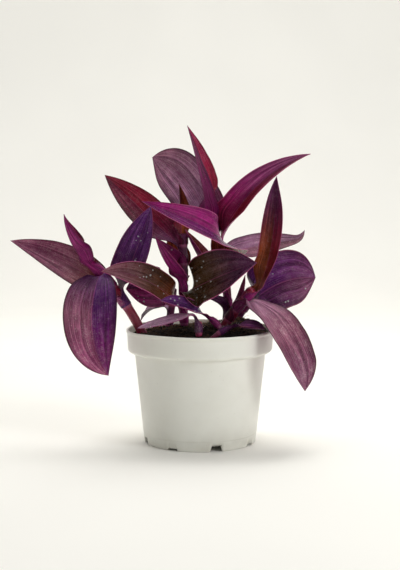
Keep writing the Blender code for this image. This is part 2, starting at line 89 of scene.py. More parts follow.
# node: how far up the stem the sheath starts; heading and rise: the direction in which the blade sets
# off; length and width of the blade; droop: fall over the blade; sweep: turn to the left over the blade;
# roll: tilt about the midrib; fold: slope of the V at the midrib; curl: slope that each half gains
# towards its edge; widest: where the blade is widest, in percent; base and tip: how full the blade is at
# each end; hook and bend: turn within the blade's own plane, over the last fifth and over all of it;
# settle: percent of the blade over which its roll is reached; wave: height of the edge's ripple.
Leaf = namedtuple(
    "Leaf",
    "name stem node heading rise length width droop sweep roll fold curl "
    "widest base tip hook bend settle wave",
)
LEAF_ROWS = (
    ("left_upright", "left", 26, 14, 67, 65, 33, -4, 0, 60, 24, 20, 36, 2.6, 2.2, 0, 2, 25, 0.5),
    ("left_long", "left", 28, 168, 37, 90, 32, 23, 0, -64, 14, 20, 34, 1.8, 1.8, 0, 0, 25, 0.6),
    ("left_drooping", "left", 45, 256, -36, 84, 48, 66, 0, -10, 18, 22, 44, 2.0, 2.4, 0, 32, 30, 0.8),
    ("left_young", "left", 59, 225, 37, 43, 25, -45, 0, -50, 56, 20, 38, 2.6, 1.5, -30, 0, 70, 0.3),
    ("middle_front_left", "middle", 3, 211, 46, 77, 28, 45, 8, -68, 16, 22, 40, 2.8, 2.1, 0, 0, 20, 0.5),
    ("middle_front_right", "middle", 14, 331, 28, 67, 46, 12, -14, 71, 18, 18, 38, 3.6, 2.2, 0, 0, 14, 0.6),
    ("middle_dark", "middle", 26, 232, 27, 42, 32, -43, 0, -55, 46, 15, 34, 2.4, 1.9, 0, 0, 30, 0.3),
    ("middle_rusty", "middle", 37, 112, 51, 32, 20, -22, 0, -30, 26, 20, 38, 2.6, 1.9, 0, 0, 30, 0.3),
    ("middle_far_left", "middle", 52, 156, 40, 83, 32, 0, 0, -55, 20, 15, 42, 2.4, 1.9, 0, 0, 25, 0.5),
    ("middle_young", "middle", 67, 112, 87, 30, 22, 0, 0, 0, 60, 20, 38, 2.6, 1.4, 0, 8, 30, 0.2),
    ("short_back", "short", 1, 141, 5, 30, 18, 60, 0, -30, 18, 20, 38, 2.6, 1.9, 0, 0, 30, 0.3),
    ("short_left", "short", 18, 196, -4, 32, 36, -6, 10, -72, 10, 16, 45, 3.2, 2.4, 0, 0, 18, 0.4),
    ("back_low", "back", 2, 222, 25, 21, 16, 0, 0, 0, 30, 20, 38, 2.6, 1.9, 0, 0, 30, 0.3),
    ("back_inner", "back", 16, 204, 46, 56, 22, -20, 0, -45, 44, 20, 45, 2.4, 1.7, 0, 0, 30, 0.3),
    ("back_far_right", "back", 44, 58, 7, 84, 23, 0, -56, 60, 20, 15, 40, 2.4, 1.9, 60, 0, 30, 0.5),
    ("back_arching", "back", 38, 284, 32, 118, 36, 13, -114, -58, 12, 20, 32, 2.4, 1.7, 0, 0, 50, 0.6),
    ("back_long_right", "back", 58, 0, 69, 98, 36, 50, 0, 65, 45, 20, 28, 2.4, 1.6, 0, 0, 30, 0.5),
    ("back_wide", "back", 62, 140, 70, 88, 43, 30, 0, -68, 10, 15, 50, 2.4, 3.0, 0, 28, 45, 0.6),
    ("back_tall", "back", 77, 257, 62, 78, 32, -5, -30, -76, 40, 15, 38, 1.6, 1.4, 0, 0, 30, 0.4),
    ("low_arched", "low", 4, 192, 24, 33, 18, 10, 0, -35, 26, 20, 50, 2.6, 2.8, 0, 0, 30, 0.2),
    ("right_narrow", "right", 8, 150, 111, 19, 9, 0, 30, 0, 60, 20, 38, 2.6, 1.9, 0, 0, 30, 0.1),
    ("right_drooping", "right", 18, 324, -42, 81, 52, 22, 0, 0, 18, 16, 45, 3.0, 3.6, 0, 0, 30, 0.7),
    ("right_upright", "right", 31, 21, 69, 86, 27, -26, 0, 55, 44, 18, 50, 2.2, 2.2, -8, 0, 30, 0.5),
    ("right_round", "right_behind", 16, 358, 45, 49, 52, 50, 0, 66, 10, 15, 45, 3.4, 4.0, 0, 0, 14, 0.8),
    ("stub_speckled", "stub", 1, 185, -20, 40, 19, -12, 0, -12, 8, 10, 55, 3.0, 2.4, 0, 0, 30, 0.4),
    ("seedling", "seedling", 5, 350, -6, 17, 20, 0, 0, 12, 12, 16, 55, 2.6, 2.4, 0, 0, 30, 0.3),
)
LEAVES = tuple(Leaf("leaf_" + name, "stem_" + stem, *numbers) for name, stem, *numbers in LEAF_ROWS)

# Colours of one leaf: the upper face's right and left halves, its base and tip, the lower face, the edge;
# how strongly base and tip colour show, how dusty the bloom is, how strong the edge line is; roughness.
# The two halves' colours are partly pigment and partly painted light and shade: one half of a folded blade
# lit, the other shaded.
Look = namedtuple("Look", "right left base tip under edge warm cool bloom rim rough slot")
LOOK_ROWS = (
    ("left_upright", "violet violet mauve violet violet rose", 0.5, 0.5, 0.4, 0.3, 0.34, "violet"),
    ("left_long", "mauve mauve rust magenta magenta umber", 0.9, 0.35, 0.7, 0.7, 0.42, "dusty"),
    ("left_drooping", "mauve violet violet magenta magenta umber", 0.8, 0.5, 0.5, 0.6, 0.36, "plum"),
    ("left_young", "wine magenta wine magenta magenta wine", 0.5, 0.4, 0.1, 0.2, 0.36, "crimson"),
    ("middle_front_left", "olive olive rust mauve magenta rose", 1.0, 0.6, 0.2, 0.8, 0.30, "olive"),
    ("middle_front_right", "olive olive olive plum plum rose", 0.4, 0.8, 0.22, 0.8, 0.28, "olive"),
    ("middle_dark", "magenta wine plum plum magenta rose", 0.3, 0.3, 0.1, 0.4, 0.36, "violet"),
    ("middle_rusty", "rust rust umber rust rust umber", 0.4, 0.2, 0.1, 0.2, 0.38, "rusty"),
    ("middle_far_left", "ruby wine plum wine magenta umber", 0.8, 0.3, 0.25, 0.4, 0.36, "crimson"),
    ("middle_young", "rust wine rust wine wine umber", 0.3, 0.3, 0.05, 0.2, 0.36, "rusty"),
    ("short_back", "lilac lilac plum lilac plum umber", 0.4, 0.2, 0.8, 0.3, 0.4, "dusty"),
    ("short_left", "plum magenta plum magenta plum rose", 0.5, 0.2, 0.25, 0.5, 0.34, "magenta"),
    ("back_low", "violet violet plum mauve plum umber", 0.3, 0.5, 0.5, 0.2, 0.4, "violet"),
    ("back_inner", "wine magenta umber rust magenta rose", 0.4, 0.4, 0.3, 0.9, 0.3, "violet"),
    ("back_far_right", "mauve lilac plum umber magenta umber", 0.5, 0.4, 0.8, 0.4, 0.45, "dusty"),
    ("back_arching", "magenta plum magenta magenta rust rose", 0.4, 0.4, 0.0, 0.8, 0.22, "magenta"),
    ("back_long_right", "ruby magenta ruby lilac rose rose", 0.7, 0.5, 0.2, 0.5, 0.34, "crimson"),
    ("back_wide", "lilac lilac violet mauve magenta umber", 0.6, 0.6, 0.7, 0.7, 0.40, "dusty"),
    ("back_tall", "ruby magenta ruby plum magenta wine", 0.5, 0.4, 0.15, 0.3, 0.34, "crimson"),
    ("low_arched", "violet violet violet violet magenta rose", 0.3, 0.3, 0.3, 0.8, 0.32, "violet"),
    ("right_narrow", "wine wine rust wine wine rose", 0.4, 0.2, 0.1, 0.6, 0.36, "crimson"),
    ("right_drooping", "mauve mauve lilac plum magenta umber", 0.5, 0.4, 0.75, 0.7, 0.42, "dusty"),
    ("right_upright", "ruby rust rust plum magenta rose", 0.6, 0.9, 0.35, 0.4, 0.38, "plum"),
    ("right_round", "plum violet plum mauve magenta mauve", 0.4, 0.4, 0.3, 0.9, 0.34, "violet"),
    ("stub_speckled", "lilac lilac rose lilac plum rose", 0.4, 0.3, 0.9, 0.4, 0.45, "pink"),
    ("seedling", "wine plum wine plum plum umber", 0.5, 0.3, 0.3, 0.4, 0.36, "plum"),
)
LOOKS = {
    "leaf_" + name: Look(*colours.split(), *amounts, "leaf_" + slot)
    for name, colours, *amounts, slot in LOOK_ROWS
}

# Leaves that carry dew: how many drops, and where along the leaf they lie, in shares of its length.
DEW = {
    "leaf_left_upright": (16, 0.22, 0.75),
    "leaf_middle_front_right": (14, 0.22, 0.45),
    "leaf_middle_front_left": (9, 0.3, 0.8),
    "leaf_short_left": (10, 0.35, 0.85),
    "leaf_low_arched": (12, 0.3, 0.9),
    "leaf_stub_speckled": (6, 0.3, 0.9),
    "leaf_right_round": (5, 0.5, 0.9),
    "leaf_middle_dark": (4, 0.4, 0.8),
}

SHEATH = 8.0  # length of the rolled sheath
TURN = 11.0  # length over which the midrib leaves the stem and the sheath opens out
SHEATH_WRAP = 165.0  # half the angle that the sheath covers round the stem
NECK_CLASP = 66.0  # the same where the blade starts
SHEET_OFFSET = 0.55  # from the stem's skin to the middle of the sheath's thickness
NARROWEST = 0.12  # half the width of a blade at its very tip
STEM_FACETS = 10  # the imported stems' sides, which set how wide a blade is at its neck


# --- Settings --------------------------------------------------------------------------------


def size(name, description, millimetres):
    """A length setting, given in millimetres and kept in metres."""
    return FloatProperty(
        name=name,
        description=description,
        default=millimetres * MM,
        min=0.0,
        precision=5,
        subtype="DISTANCE",
        unit="LENGTH",
    )


def tint(name, description, *display):
    """A colour setting, given in display values."""
    return FloatVectorProperty(
        name=name,
        description=description,
        default=srgb(*display),
        min=0.0,
        max=1.0,
        size=3,
        subtype="COLOR",
    )


def whole(name, description, number, least=0):
    """A whole-number setting."""
    return IntProperty(name=name, description=description, default=number, min=least)


def watts(name, description, power):
    """A lamp's power."""
    return FloatProperty(name=name, description=description, default=power, unit="POWER")


class PotSettings(PropertyGroup):
    """Sizes and colours of the nursery pot."""

    height: size("Height", "Height of the pot", 93.0)
    rim_radius: size("Rim Radius", "Outer radius at the lip", 60.0)
    foot_radius: size("Foot Radius", "Outer radius at the foot", 45.5)
    band_height: size("Band Height", "Height of the thicker band below the lip", 18.4)
    wall: size("Wall", "Thickness of the moulded wall", 1.2)
    segments: whole("Segments", "Steps round the pot", 192, 48)
    plastic: tint("Plastic", "Colour of the plastic", 235, 235, 226)
    grime: tint("Grime", "Colour of scuffs and dust", 150, 142, 124)


class MixSettings(PropertyGroup):
    """Sizes and colours of the potting mix."""

    edge: size("Edge Height", "Height of the mix at the pot's wall", 87.0)
    crown: size("Crown Height", "Height of the mix in the middle", 95.0)
    grains: whole("Grains", "Loose grains on top", 1500)
    fibres: whole("Fibres", "Roots and peat fibres on top", 420)
    dark: tint("Dark", "Damp peat", 18, 12, 9)
    brown: tint("Brown", "Dry peat", 104, 76, 50)
    pale: tint("Pale", "Bark, roots and fibres", 178, 150, 112)


class StemSettings(PropertyGroup):
    """Fineness of the stems."""

    sides: whole("Sides", "Steps round a stem", 32, 12)
    ring_step: size("Ring Step", "Spacing of the rings along a stem", 1.0)
    swelling: size("Swelling", "How far a stem swells at its nodes", 0.28)
    hairs: whole("Hairs", "Hairs on each sheath's mouth", 26)


class LeafSettings(PropertyGroup):
    """Sizes and colours of the leaves."""

    midrib: size("Midrib Thickness", "Thickness of a blade at its midrib", 1.0)
    edge: size("Edge Thickness", "Thickness of a blade at its edge", 0.4)
    along: whole("Along", "Steps along a blade", 84, 12)
    across: whole("Across", "Steps across a leaf", 36, 8)
    lilac: tint("Lilac", "Dusty pale purple", 162, 112, 148)
    mauve: tint("Mauve", "Dusty pink purple", 134, 74, 98)
    plum: tint("Plum", "Deep grey purple", 84, 12, 80)
    violet: tint("Violet", "Deep blue purple", 88, 16, 104)
    magenta: tint("Magenta", "Bright red purple", 140, 0, 100)
    ruby: tint("Ruby", "Clear crimson", 156, 0, 52)
    wine: tint("Wine", "Dark crimson", 100, 0, 46)
    olive: tint("Olive", "Brown green", 70, 44, 8)
    rust: tint("Rust", "Orange brown", 138, 58, 6)
    umber: tint("Umber", "Dark brown", 42, 18, 22)
    rose: tint("Rose", "Pale pink purple", 196, 98, 146)
    frost: tint("Bloom", "Dusty wax on the leaves", 234, 212, 212)


class StageSettings(PropertyGroup):
    """Backdrop and lights."""

    backdrop: tint("Backdrop", "Colour of the sweep", 249, 248, 243)
    sky: FloatProperty(name="Ambient", description="Strength of the even light", default=0.36, min=0.0)
    key_light: watts("Key Light", "Power of the lamp overhead", 7.5)
    wall_light: watts("Wall Light", "Power of the lamp on the rear wall", 10.5)
    front_light: watts("Front Light", "Power of the front lamp", 6.0)


# --- Small maths helpers ---------------------------------------------------------------------


def unit(vectors):
    """Each vector divided by its length."""
    return vectors / np.linalg.norm(vectors, axis=-1, keepdims=True)


def smooth(share):
    """An S-shaped step from 0 to 1 while the share goes from 0 to 1."""
    share = np.clip(share, 0.0, 1.0)
    return share * share * (3.0 - 2.0 * share)


def running_sum(rows, stations):
    """Integral of rows of values over their stations by the trapezium rule, starting from zero."""
    areas = (rows[1:] + rows[:-1]) / 2 * np.diff(stations)[:, None]
    return np.concatenate([np.zeros((1, rows.shape[1])), np.cumsum(areas, axis=0)])


def read_off(vectors, stations, along):
    """Vectors given at stations, read off at other distances by straight interpolation."""
    return np.stack([np.interp(along, stations, vectors[:, k]) for k in range(3)], axis=-1)


def ripple(values, seed, octaves=4):
    """Gentle irregular waves: a sum of sines whose frequency grows and height falls by octaves."""
    chance = np.random.default_rng(seed)
    total = np.zeros(np.shape(values))
    for octave in range(octaves):
        frequency = 1.7**octave * chance.uniform(0.8, 1.2)
        total = total + np.sin(values * frequency + chance.uniform(0, 2 * math.pi)) / 1.6**octave
    return total / 2.2


def ground_noise(x, y, seed, length, octaves=5):
    """Bumpy ground: sines along random directions, each octave shorter and lower than the last."""
    chance = np.random.default_rng(seed)
    total = np.zeros(np.shape(x))
    for octave in range(octaves):
        for _direction in range(4):
            turn, phase = chance.uniform(0, 2 * math.pi, 2)
            wave = 2 * math.pi / (length / 1.9**octave * chance.uniform(0.7, 1.3))
            total = total + np.sin((x * math.cos(turn) + y * math.sin(turn)) * wave + phase) / 1.7**octave
    return total / 4.0


def turn_about_z(x, y, angle):
    """Coordinates x and y turned about Z by an angle in radians."""
    cosine, sine = np.cos(angle), np.sin(angle)
    return x * cosine - y * sine, x * sine + y * cosine


def rounded(corners, steps=5):
    """A profile whose corners are rounded: each becomes a parabola that starts and ends its cut away.

    A corner is (radius, height, cut); the parabola runs between the points a cut before and after it and
    has the corner as its control point.
    """
    corners = np.array(corners, dtype=float)
    line = [corners[0, :2]]
    for before, here, after in zip(corners[:-2], corners[1:-1], corners[2:]):
        start = here[:2] + unit(before[:2] - here[:2]) * here[2]
        end = here[:2] + unit(after[:2] - here[:2]) * here[2]
        share = np.linspace(0.0, 1.0, steps)[:, None] if here[2] > 0 else np.array([[0.0]])
        line += list(start * (1 - share) ** 2 + 2 * here[:2] * share * (1 - share) + end * share**2)
    line.append(corners[-1, :2])
    return np.array(line)


# --- Mesh helpers ----------------------------------------------------------------------------


def grid_faces(rows, columns, closed=False):
    """Quads between the rows and columns of a grid; a closed grid joins its last column to its first."""
    index = np.arange(rows * columns).reshape(rows, columns)
    after = np.roll(index, -1, axis=1)
    if not closed:
        index, after = index[:, :-1], after[:, :-1]
    quads = np.stack([index[:-1], after[:-1], after[1:], index[1:]], axis=-1)
    return quads.reshape(-1, 4)


def add_object(name, points, faces, finish, attributes=None, sharp_degrees=None):
    """A smooth-shaded piece at the origin, from points in millimetres and outward faces."""
    mesh = bpy.data.meshes.new(name)
    mesh.from_pydata((np.asarray(points) * MM).tolist(), [], [tuple(map(int, face)) for face in faces])
    for label, values in (attributes or {}).items():
        values = np.asarray(values, dtype=np.float32)
        kind, field = ("FLOAT_VECTOR", "vector") if values.ndim == 2 else ("FLOAT", "value")
        mesh.attributes.new(label, kind, "POINT").data.foreach_set(field, values.ravel())
    mesh.shade_smooth()
    if sharp_degrees:
        mesh.set_sharp_from_angle(angle=math.radians(sharp_degrees))
    mesh.update()
    made = bpy.data.objects.new(name, mesh)
    bpy.context.scene.collection.objects.link(made)
    if finish:
        mesh.materials.append(finish)
    return made


def turned(profile, segments, wobble=None):
    """Points and faces of a profile turned about Z; its first and last points lie on the axis."""
    inner = profile[1:-1]
    angles = np.arange(segments) * 2 * math.pi / segments
    radii = np.repeat(inner[:, :1], segments, axis=1)
    heights = np.repeat(inner[:, 1:], segments, axis=1)
    if wobble:
        radii, heights = wobble(radii, heights, angles)
    rings = np.stack([radii * np.cos(angles), radii * np.sin(angles), heights], axis=-1).reshape(-1, 3)
    poles = [(0.0, 0.0, profile[0, 1]), (0.0, 0.0, profile[-1, 1])]
    first, last = len(rings), len(rings) + 1
    low = np.arange(segments)
    high = low + (len(inner) - 1) * segments
    faces = [*grid_faces(len(inner), segments, closed=True)]
    faces += [(first, b, a) for a, b in zip(low, np.roll(low, -1))]
    faces += [(last, a, b) for a, b in zip(high, np.roll(high, -1))]
    return np.concatenate([rings, poles]), faces


# --- Material helpers ------------------------------------------------------------------------


class Graph:
    """Short calls for a material's nodes; a value may be a number, a colour or another node's output."""

    def __init__(self, name):
        self.material = bpy.data.materials.new(name)
        self.material.use_nodes = True
        self.tree = self.material.node_tree
        self.shader = self.tree.nodes["Principled BSDF"]

    def put(self, socket, value):
        """Link an output to a socket, or set the socket's own value."""
        if isinstance(value, bpy.types.NodeSocket):
            self.tree.links.new(value, socket)
        elif isinstance(value, (tuple, list)) and len(value) == 3 and len(socket.default_value) == 4:
            socket.default_value = (*value, 1.0)
        else:
            socket.default_value = value

    def node(self, kind, values=None, **settings):
        """A node with its settings and its inputs' values."""
        made = self.tree.nodes.new(kind)
        for key, value in settings.items():
            setattr(made, key, value)
        for key, value in (values or {}).items():
            self.put(made.inputs[key], value)
        return made

    def maths(self, operation, first, second=0.0):
        """A Math node's output."""
        return self.node("ShaderNodeMath", {0: first, 1: second}, operation=operation).outputs[0]

    def times(self, first, second):
        """The product of two values."""
        return self.maths("MULTIPLY", first, second)

    def plus(self, first, second):
        """The sum of two values."""
        return self.maths("ADD", first, second)

    def step(self, value, start, end, low=0.0, high=1.0):
        """A smooth step from low to high while the value goes from start to end."""
        ends = {"Value": value, "From Min": start, "From Max": end, "To Min": low, "To Max": high}
        return self.node("ShaderNodeMapRange", ends, interpolation_type="SMOOTHSTEP").outputs[0]

    def mix(self, factor, first, second):
        """A colour between the first and the second."""
        made = self.node("ShaderNodeMix", data_type="RGBA")
        for socket, value in zip((made.inputs[0], made.inputs[6], made.inputs[7]), (factor, first, second)):
            self.put(socket, value)
        return made.outputs[2]

    def veil(self, colour, other, value, start, end, amount=1.0):
        """A colour that gives way to another, by up to an amount, while a value goes from start to end."""
        return self.mix(self.step(value, start, end, 0.0, amount), colour, other)

    def tone(self, colour, value, strength):
        """A colour with its lightness and its saturation multiplied."""
        values = {"Value": value, "Saturation": strength, "Color": colour}
        return self.node("ShaderNodeHueSaturation", values).outputs[0]

    def noise(self, place, scale, detail=3.0, roughness=0.55):
        """Noise from 0 to 1 at a place."""
        values = {"Vector": place, "Scale": scale, "Detail": detail, "Roughness": roughness}
        return self.node("ShaderNodeTexNoise", values).outputs[0]

    def place(self):
        """Object coordinates, in metres."""
        return self.node("ShaderNodeTexCoord").outputs["Object"]

    def attribute(self, name):
        """The three parts of a vector attribute."""
        vector = self.node("ShaderNodeAttribute", attribute_name=name).outputs["Vector"]
        return [self.part(vector, axis) for axis in range(3)]

    def vector(self, x, y, z):
        """A vector from three values."""
        return self.node("ShaderNodeCombineXYZ", {0: x, 1: y, 2: z}).outputs[0]

    def part(self, vector, axis):
        """One part of a vector."""
        return self.node("ShaderNodeSeparateXYZ", {0: vector}).outputs[axis]

    def streaks(self, spot, stretch, detail, roughness=0.6, scale=1.0):
        """Noise over a skin's own two coordinates, each times its stretch; the third stretch is an offset."""
        drawn = self.vector(self.times(spot[0], stretch[0]), self.times(spot[1], stretch[1]), stretch[2])
        return self.noise(drawn, scale, detail, roughness)

    def bump(self, height, distance, strength=1.0):
        """Bump from a height, its distance in metres, on the shader."""
        values = {"Height": height, "Distance": distance, "Strength": strength}
        self.put(self.shader.inputs["Normal"], self.node("ShaderNodeBump", values).outputs[0])

    def finish(self, **sockets):
        """Set the shader's sockets and return the material."""
        for key, value in sockets.items():
            self.put(self.shader.inputs[key.replace("_", " ")], value)
        return self.material


# --- Finishes --------------------------------------------------------------------------------

FRONT_SHADE_DEPTHS = (-0.03, 0.03)  # depths in metres over which painted shade at the front of the mix gives way to its full colour


def pot_finish(settings):
    """White moulded plastic with faint mottling, dust near the foot, rubbed spots and a fine satin grain."""
    graph = Graph("pot_plastic")
    place = graph.place()
    height = graph.part(place, 2)
    cloud = graph.noise(place, 22.0, 4.0)
    speck = graph.step(graph.noise(place, 420.0, 2.0), 0.72, 0.80)
    scuffs = graph.noise(graph.vector(graph.times(cloud, 1.5), 0.0, height), 90.0)
    foot = graph.step(height, 0.022, 0.0)
    grime = tuple(settings.grime)
    colour = graph.veil(tuple(settings.plastic), grime, cloud, 0.35, 0.75, 0.10)
    colour = graph.mix(graph.times(foot, graph.step(cloud, 0.3, 0.7, 0.05, 0.35)), colour, grime)
    colour = graph.mix(graph.times(speck, 0.35), colour, grime)
    colour = graph.mix(graph.times(graph.step(scuffs, 0.6, 0.75), 0.06), colour, grime)
    grain = graph.noise(place, 1500.0, 2.0)
    graph.bump(graph.plus(grain, graph.times(cloud, 3.0)), 0.00012, 0.35)
    return graph.finish(
        Base_Color=colour,
        Roughness=graph.step(cloud, 0.3, 0.7, 0.34, 0.46),
        Subsurface_Weight=0.25,
        Subsurface_Radius=(1.0, 0.95, 0.85),
        Subsurface_Scale=0.004,
    )


def mix_finish(settings):
    """Damp peat: dark, with brown and pale crumbs at two sizes and deep bump; painted shade darkens it
    towards the front.
    """
    graph = Graph("mix_peat")
    place = graph.place()
    lumps = graph.noise(place, 160.0, 5.0, 0.65)
    crumbs = graph.noise(place, 900.0, 4.0, 0.7)
    # painted shade: towards the front the brown lumps and pale crumbs fade, leaving the dark peat
    out_of_shade = graph.step(graph.part(place, 1), *FRONT_SHADE_DEPTHS, 0.25, 1.0)
    brown = graph.times(graph.step(lumps, 0.4, 0.68), out_of_shade)
    pale = graph.times(graph.step(crumbs, 0.62, 0.78, 0.0, 0.6), out_of_shade)
    colour = graph.mix(brown, tuple(settings.dark), tuple(settings.brown))
    colour = graph.mix(pale, colour, tuple(settings.pale))
    graph.bump(graph.plus(lumps, graph.times(crumbs, 0.5)), 0.0025)
    return graph.finish(Base_Color=colour, Roughness=0.95, Specular_IOR_Level=0.2)


def grain_finish(settings):
    """Loose grains and fibres: each has its own shade from dark peat to pale root, with fine mottling;
    painted shade darkens them towards the front.
    """
    graph = Graph("mix_grains")
    place = graph.place()
    shade = graph.node("ShaderNodeAttribute", attribute_name=GRAIN_SHADE).outputs["Fac"]
    mottle = graph.noise(place, 1400.0, 3.0)
    # painted shade: the grains turn darker towards the front
    shade = graph.times(shade, graph.step(graph.part(place, 1), *FRONT_SHADE_DEPTHS, 0.4, 1.0))
    dark = tuple(settings.dark)
    colour = graph.veil(dark, tuple(settings.brown), shade, 0.1, 0.6)
    colour = graph.veil(colour, tuple(settings.pale), shade, 0.6, 1.0)
    colour = graph.veil(colour, dark, mottle, 0.3, 0.7, 0.5)
    graph.bump(mottle, 0.0004)
    return graph.finish(Base_Color=colour, Roughness=0.9, Specular_IOR_Level=0.25)


def stem_finish(name, skin, colours):
    """Fleshy skin: lengthwise streaks and ribs, darker and browner in patches, paler rings at the nodes."""
    graph = Graph(name)
    place = graph.place()
    around, along, node = graph.attribute(STEM_PLACE)
    streak = graph.streaks((around, along), (14.0, 0.06, 0.0), 4.0, 0.55, 1.6)
    colour = graph.veil(colours[skin], colours["wine"], streak, 0.35, 0.7)
    colour = graph.veil(colour, colours["plum"], graph.noise(place, 70.0, 3.0), 0.55, 0.8, 0.6)
    colour = graph.veil(colour, colours["rose"], graph.noise(place, 1100.0, 2.0), 0.66, 0.8, 0.5)
    colour = graph.mix(graph.times(node, 0.55), colour, colours["rose"])
    graph.bump(graph.plus(streak, graph.times(graph.noise(place, 1500.0), 0.3)), 0.0004)
    return graph.finish(
        Base_Color=colour,
        Roughness=0.34,
        Subsurface_Weight=0.2,
        Subsurface_Radius=(1.0, 0.2, 0.3),
        Subsurface_Scale=0.002,
    )


def leaf_finish(name, look, colours):
    """A leaf's skin.

    Each half of the upper face has its own colour, shading into a base and a tip colour; the halves are
    partly the leaf's pigment and partly painted light and shade, one half of a folded blade lit and the other
    shaded.  Parallel veins and streaks run from base to tip, with broad pale and dark bands of painted sheen
    and painted shade.  Soft patches, a dusty speckled bloom, pale flecks drawn out lengthwise, a pale midrib
    and an edge line lie over them; the bloom is heavier on the pale bands.  The lower face has its own colour
    and the same veins.
    """
    graph = Graph(name)
    place = graph.place()
    across, along, upper = graph.attribute(LEAF_PLACE)
    off_middle = graph.maths("ABSOLUTE", graph.maths("SUBTRACT", across, 0.5))
    streak = graph.streaks((across, along), (26.0, 2.2, 0.0), 4.0)
    hatch = graph.streaks((across, along), (90.0, 5.0, 3.0), 3.0)
    # band: broad lengthwise stripes laid on as painted sheen where pale and painted shade where dark
    band = graph.streaks((across, along), (7.0, 1.4, 11.0), 3.0, 0.55)
    fleck = graph.streaks((across, along), (130.0, 60.0, 7.0), 2.0)
    patch = graph.noise(place, 48.0, 4.0, 0.6)
    mottle = graph.noise(place, 260.0, 4.0, 0.65)
    speckle = graph.noise(place, 1500.0, 3.0, 0.7)
    vein = graph.step(graph.maths("PINGPONG", graph.times(across, 34.0), 0.5), 0.30, 0.50)

    # the halves' colours: partly pigment, partly painted light and shade on a folded blade's lit and shaded
    # halves
    top = graph.veil(colours[look.right], colours[look.left], across, 0.46, 0.54)
    ragged = graph.plus(along, graph.times(streak, 0.25))
    top = graph.veil(top, colours[look.base], ragged, 0.70, 0.22, look.warm)
    ragged = graph.plus(along, graph.times(streak, 0.3))
    top = graph.veil(top, colours[look.tip], ragged, 0.50, 1.05, look.cool)
    under = graph.veil(colours[look.under], colours["plum"], streak, 0.35, 0.7, 0.5)
    colour = graph.mix(upper, under, top)

    # darker and lighter copies of the colour; on the broad bands they are painted shade and painted sheen,
    # elsewhere the leaf's own streaks and patches
    darker, lighter = graph.tone(colour, 0.26, 1.25), graph.tone(colour, 2.4, 0.92)
    for other, value, start, end, amount in (
        (darker, band, 0.50, 0.62, 0.65),
        (lighter, band, 0.46, 0.34, 0.6),
        (darker, patch, 0.42, 0.68, 0.6),
        (darker, streak, 0.52, 0.68, 0.6),
        (lighter, streak, 0.48, 0.30, 0.55),
        (lighter, hatch, 0.52, 0.74, 0.6),
        (darker, hatch, 0.46, 0.28, 0.5),
    ):
        colour = graph.veil(colour, other, value, start, end, amount)
    colour = graph.mix(graph.times(vein, 0.16), colour, lighter)

    dusty = graph.times(graph.step(speckle, 0.40, 0.66), graph.step(mottle, 0.35, 0.62, 0.15, 1.0))
    dusty = graph.times(dusty, graph.step(patch, 0.35, 0.6, 1.0, 0.35))
    dusty = graph.plus(dusty, graph.step(hatch, 0.56, 0.72, 0.0, 0.7))
    # the bloom is heavier on the pale bands of painted sheen
    dusty = graph.times(dusty, graph.step(band, 0.58, 0.38, 0.5, 1.5))
    colour = graph.mix(graph.times(dusty, look.bloom * 0.5), colour, colours["frost"])
    fleck = graph.times(graph.step(fleck, 0.60, 0.70), graph.step(mottle, 0.42, 0.60, 0.1, 1.0))
    colour = graph.mix(graph.times(fleck, 0.2 + look.bloom * 0.5), colour, colours["frost"])
    rib = graph.step(off_middle, 0.012, 0.003, 0.0, 0.3)
    colour = graph.mix(graph.times(rib, upper), colour, colours["rose"])
    colour = graph.veil(colour, darker, off_middle, 0.38, 0.48, 0.6)
    colour = graph.veil(colour, colours[look.edge], off_middle, 0.474, 0.490, look.rim)

    relief = graph.times(vein, 0.35)
    for value, weight in ((hatch, 0.8), (speckle, 0.35), (mottle, 0.5)):
        relief = graph.plus(relief, graph.times(value, weight))
    graph.bump(relief, 0.00035, 0.8)
    dull = graph.plus(graph.times(mottle, 0.6), dusty)
    return graph.finish(
        Base_Color=colour,
        Roughness=graph.step(dull, 0.1, 1.2, look.rough - 0.04, look.rough + 0.2),
        Specular_IOR_Level=0.16,
        Subsurface_Weight=0.12,
        Subsurface_Radius=(1.0, 0.12, 0.2),
        Subsurface_Scale=0.0016,
    )


def hair_finish(colours):
    """Pale silky hairs, pinker at random."""
    graph = Graph("sheath_hairs")
    shade = graph.noise(graph.place(), 500.0, 1.0)
    colour = graph.mix(shade, colours["rose"], (0.85, 0.78, 0.78))
    return graph.finish(Base_Color=colour, Roughness=0.5)


def dew_finish():
    """Clear water with the faintest unevenness."""
    graph = Graph("dew_water")
    colour = graph.mix(graph.noise(graph.place(), 300.0, 1.0), (0.96, 0.97, 1.0), (1.0, 1.0, 1.0))
    return graph.finish(Base_Color=colour, Roughness=0.04, IOR=1.33, Transmission_Weight=0.6)


def sweep_finish(settings):
    """Matt paper, very slightly uneven."""
    graph = Graph("sweep_paper")
    place = graph.place()
    tone = tuple(settings.backdrop)
    shade = tuple(part * 0.97 for part in tone)
    colour = graph.veil(tone, shade, graph.noise(place, 3.0, 2.0), 0.3, 0.7)
    graph.bump(graph.noise(place, 900.0, 2.0), 0.0001, 0.2)
    return graph.finish(Base_Color=colour, Roughness=0.85, Specular_IOR_Level=0.2)


def leaf_colours():
    """The leaf settings' colours by name."""
    leaves = bpy.context.scene.plant_leaves
    names = "lilac mauve plum violet magenta ruby wine olive rust umber rose frost".split()
    return {name: tuple(getattr(leaves, name)) for name in names}


# --- Pot and potting mix ---------------------------------------------------------------------

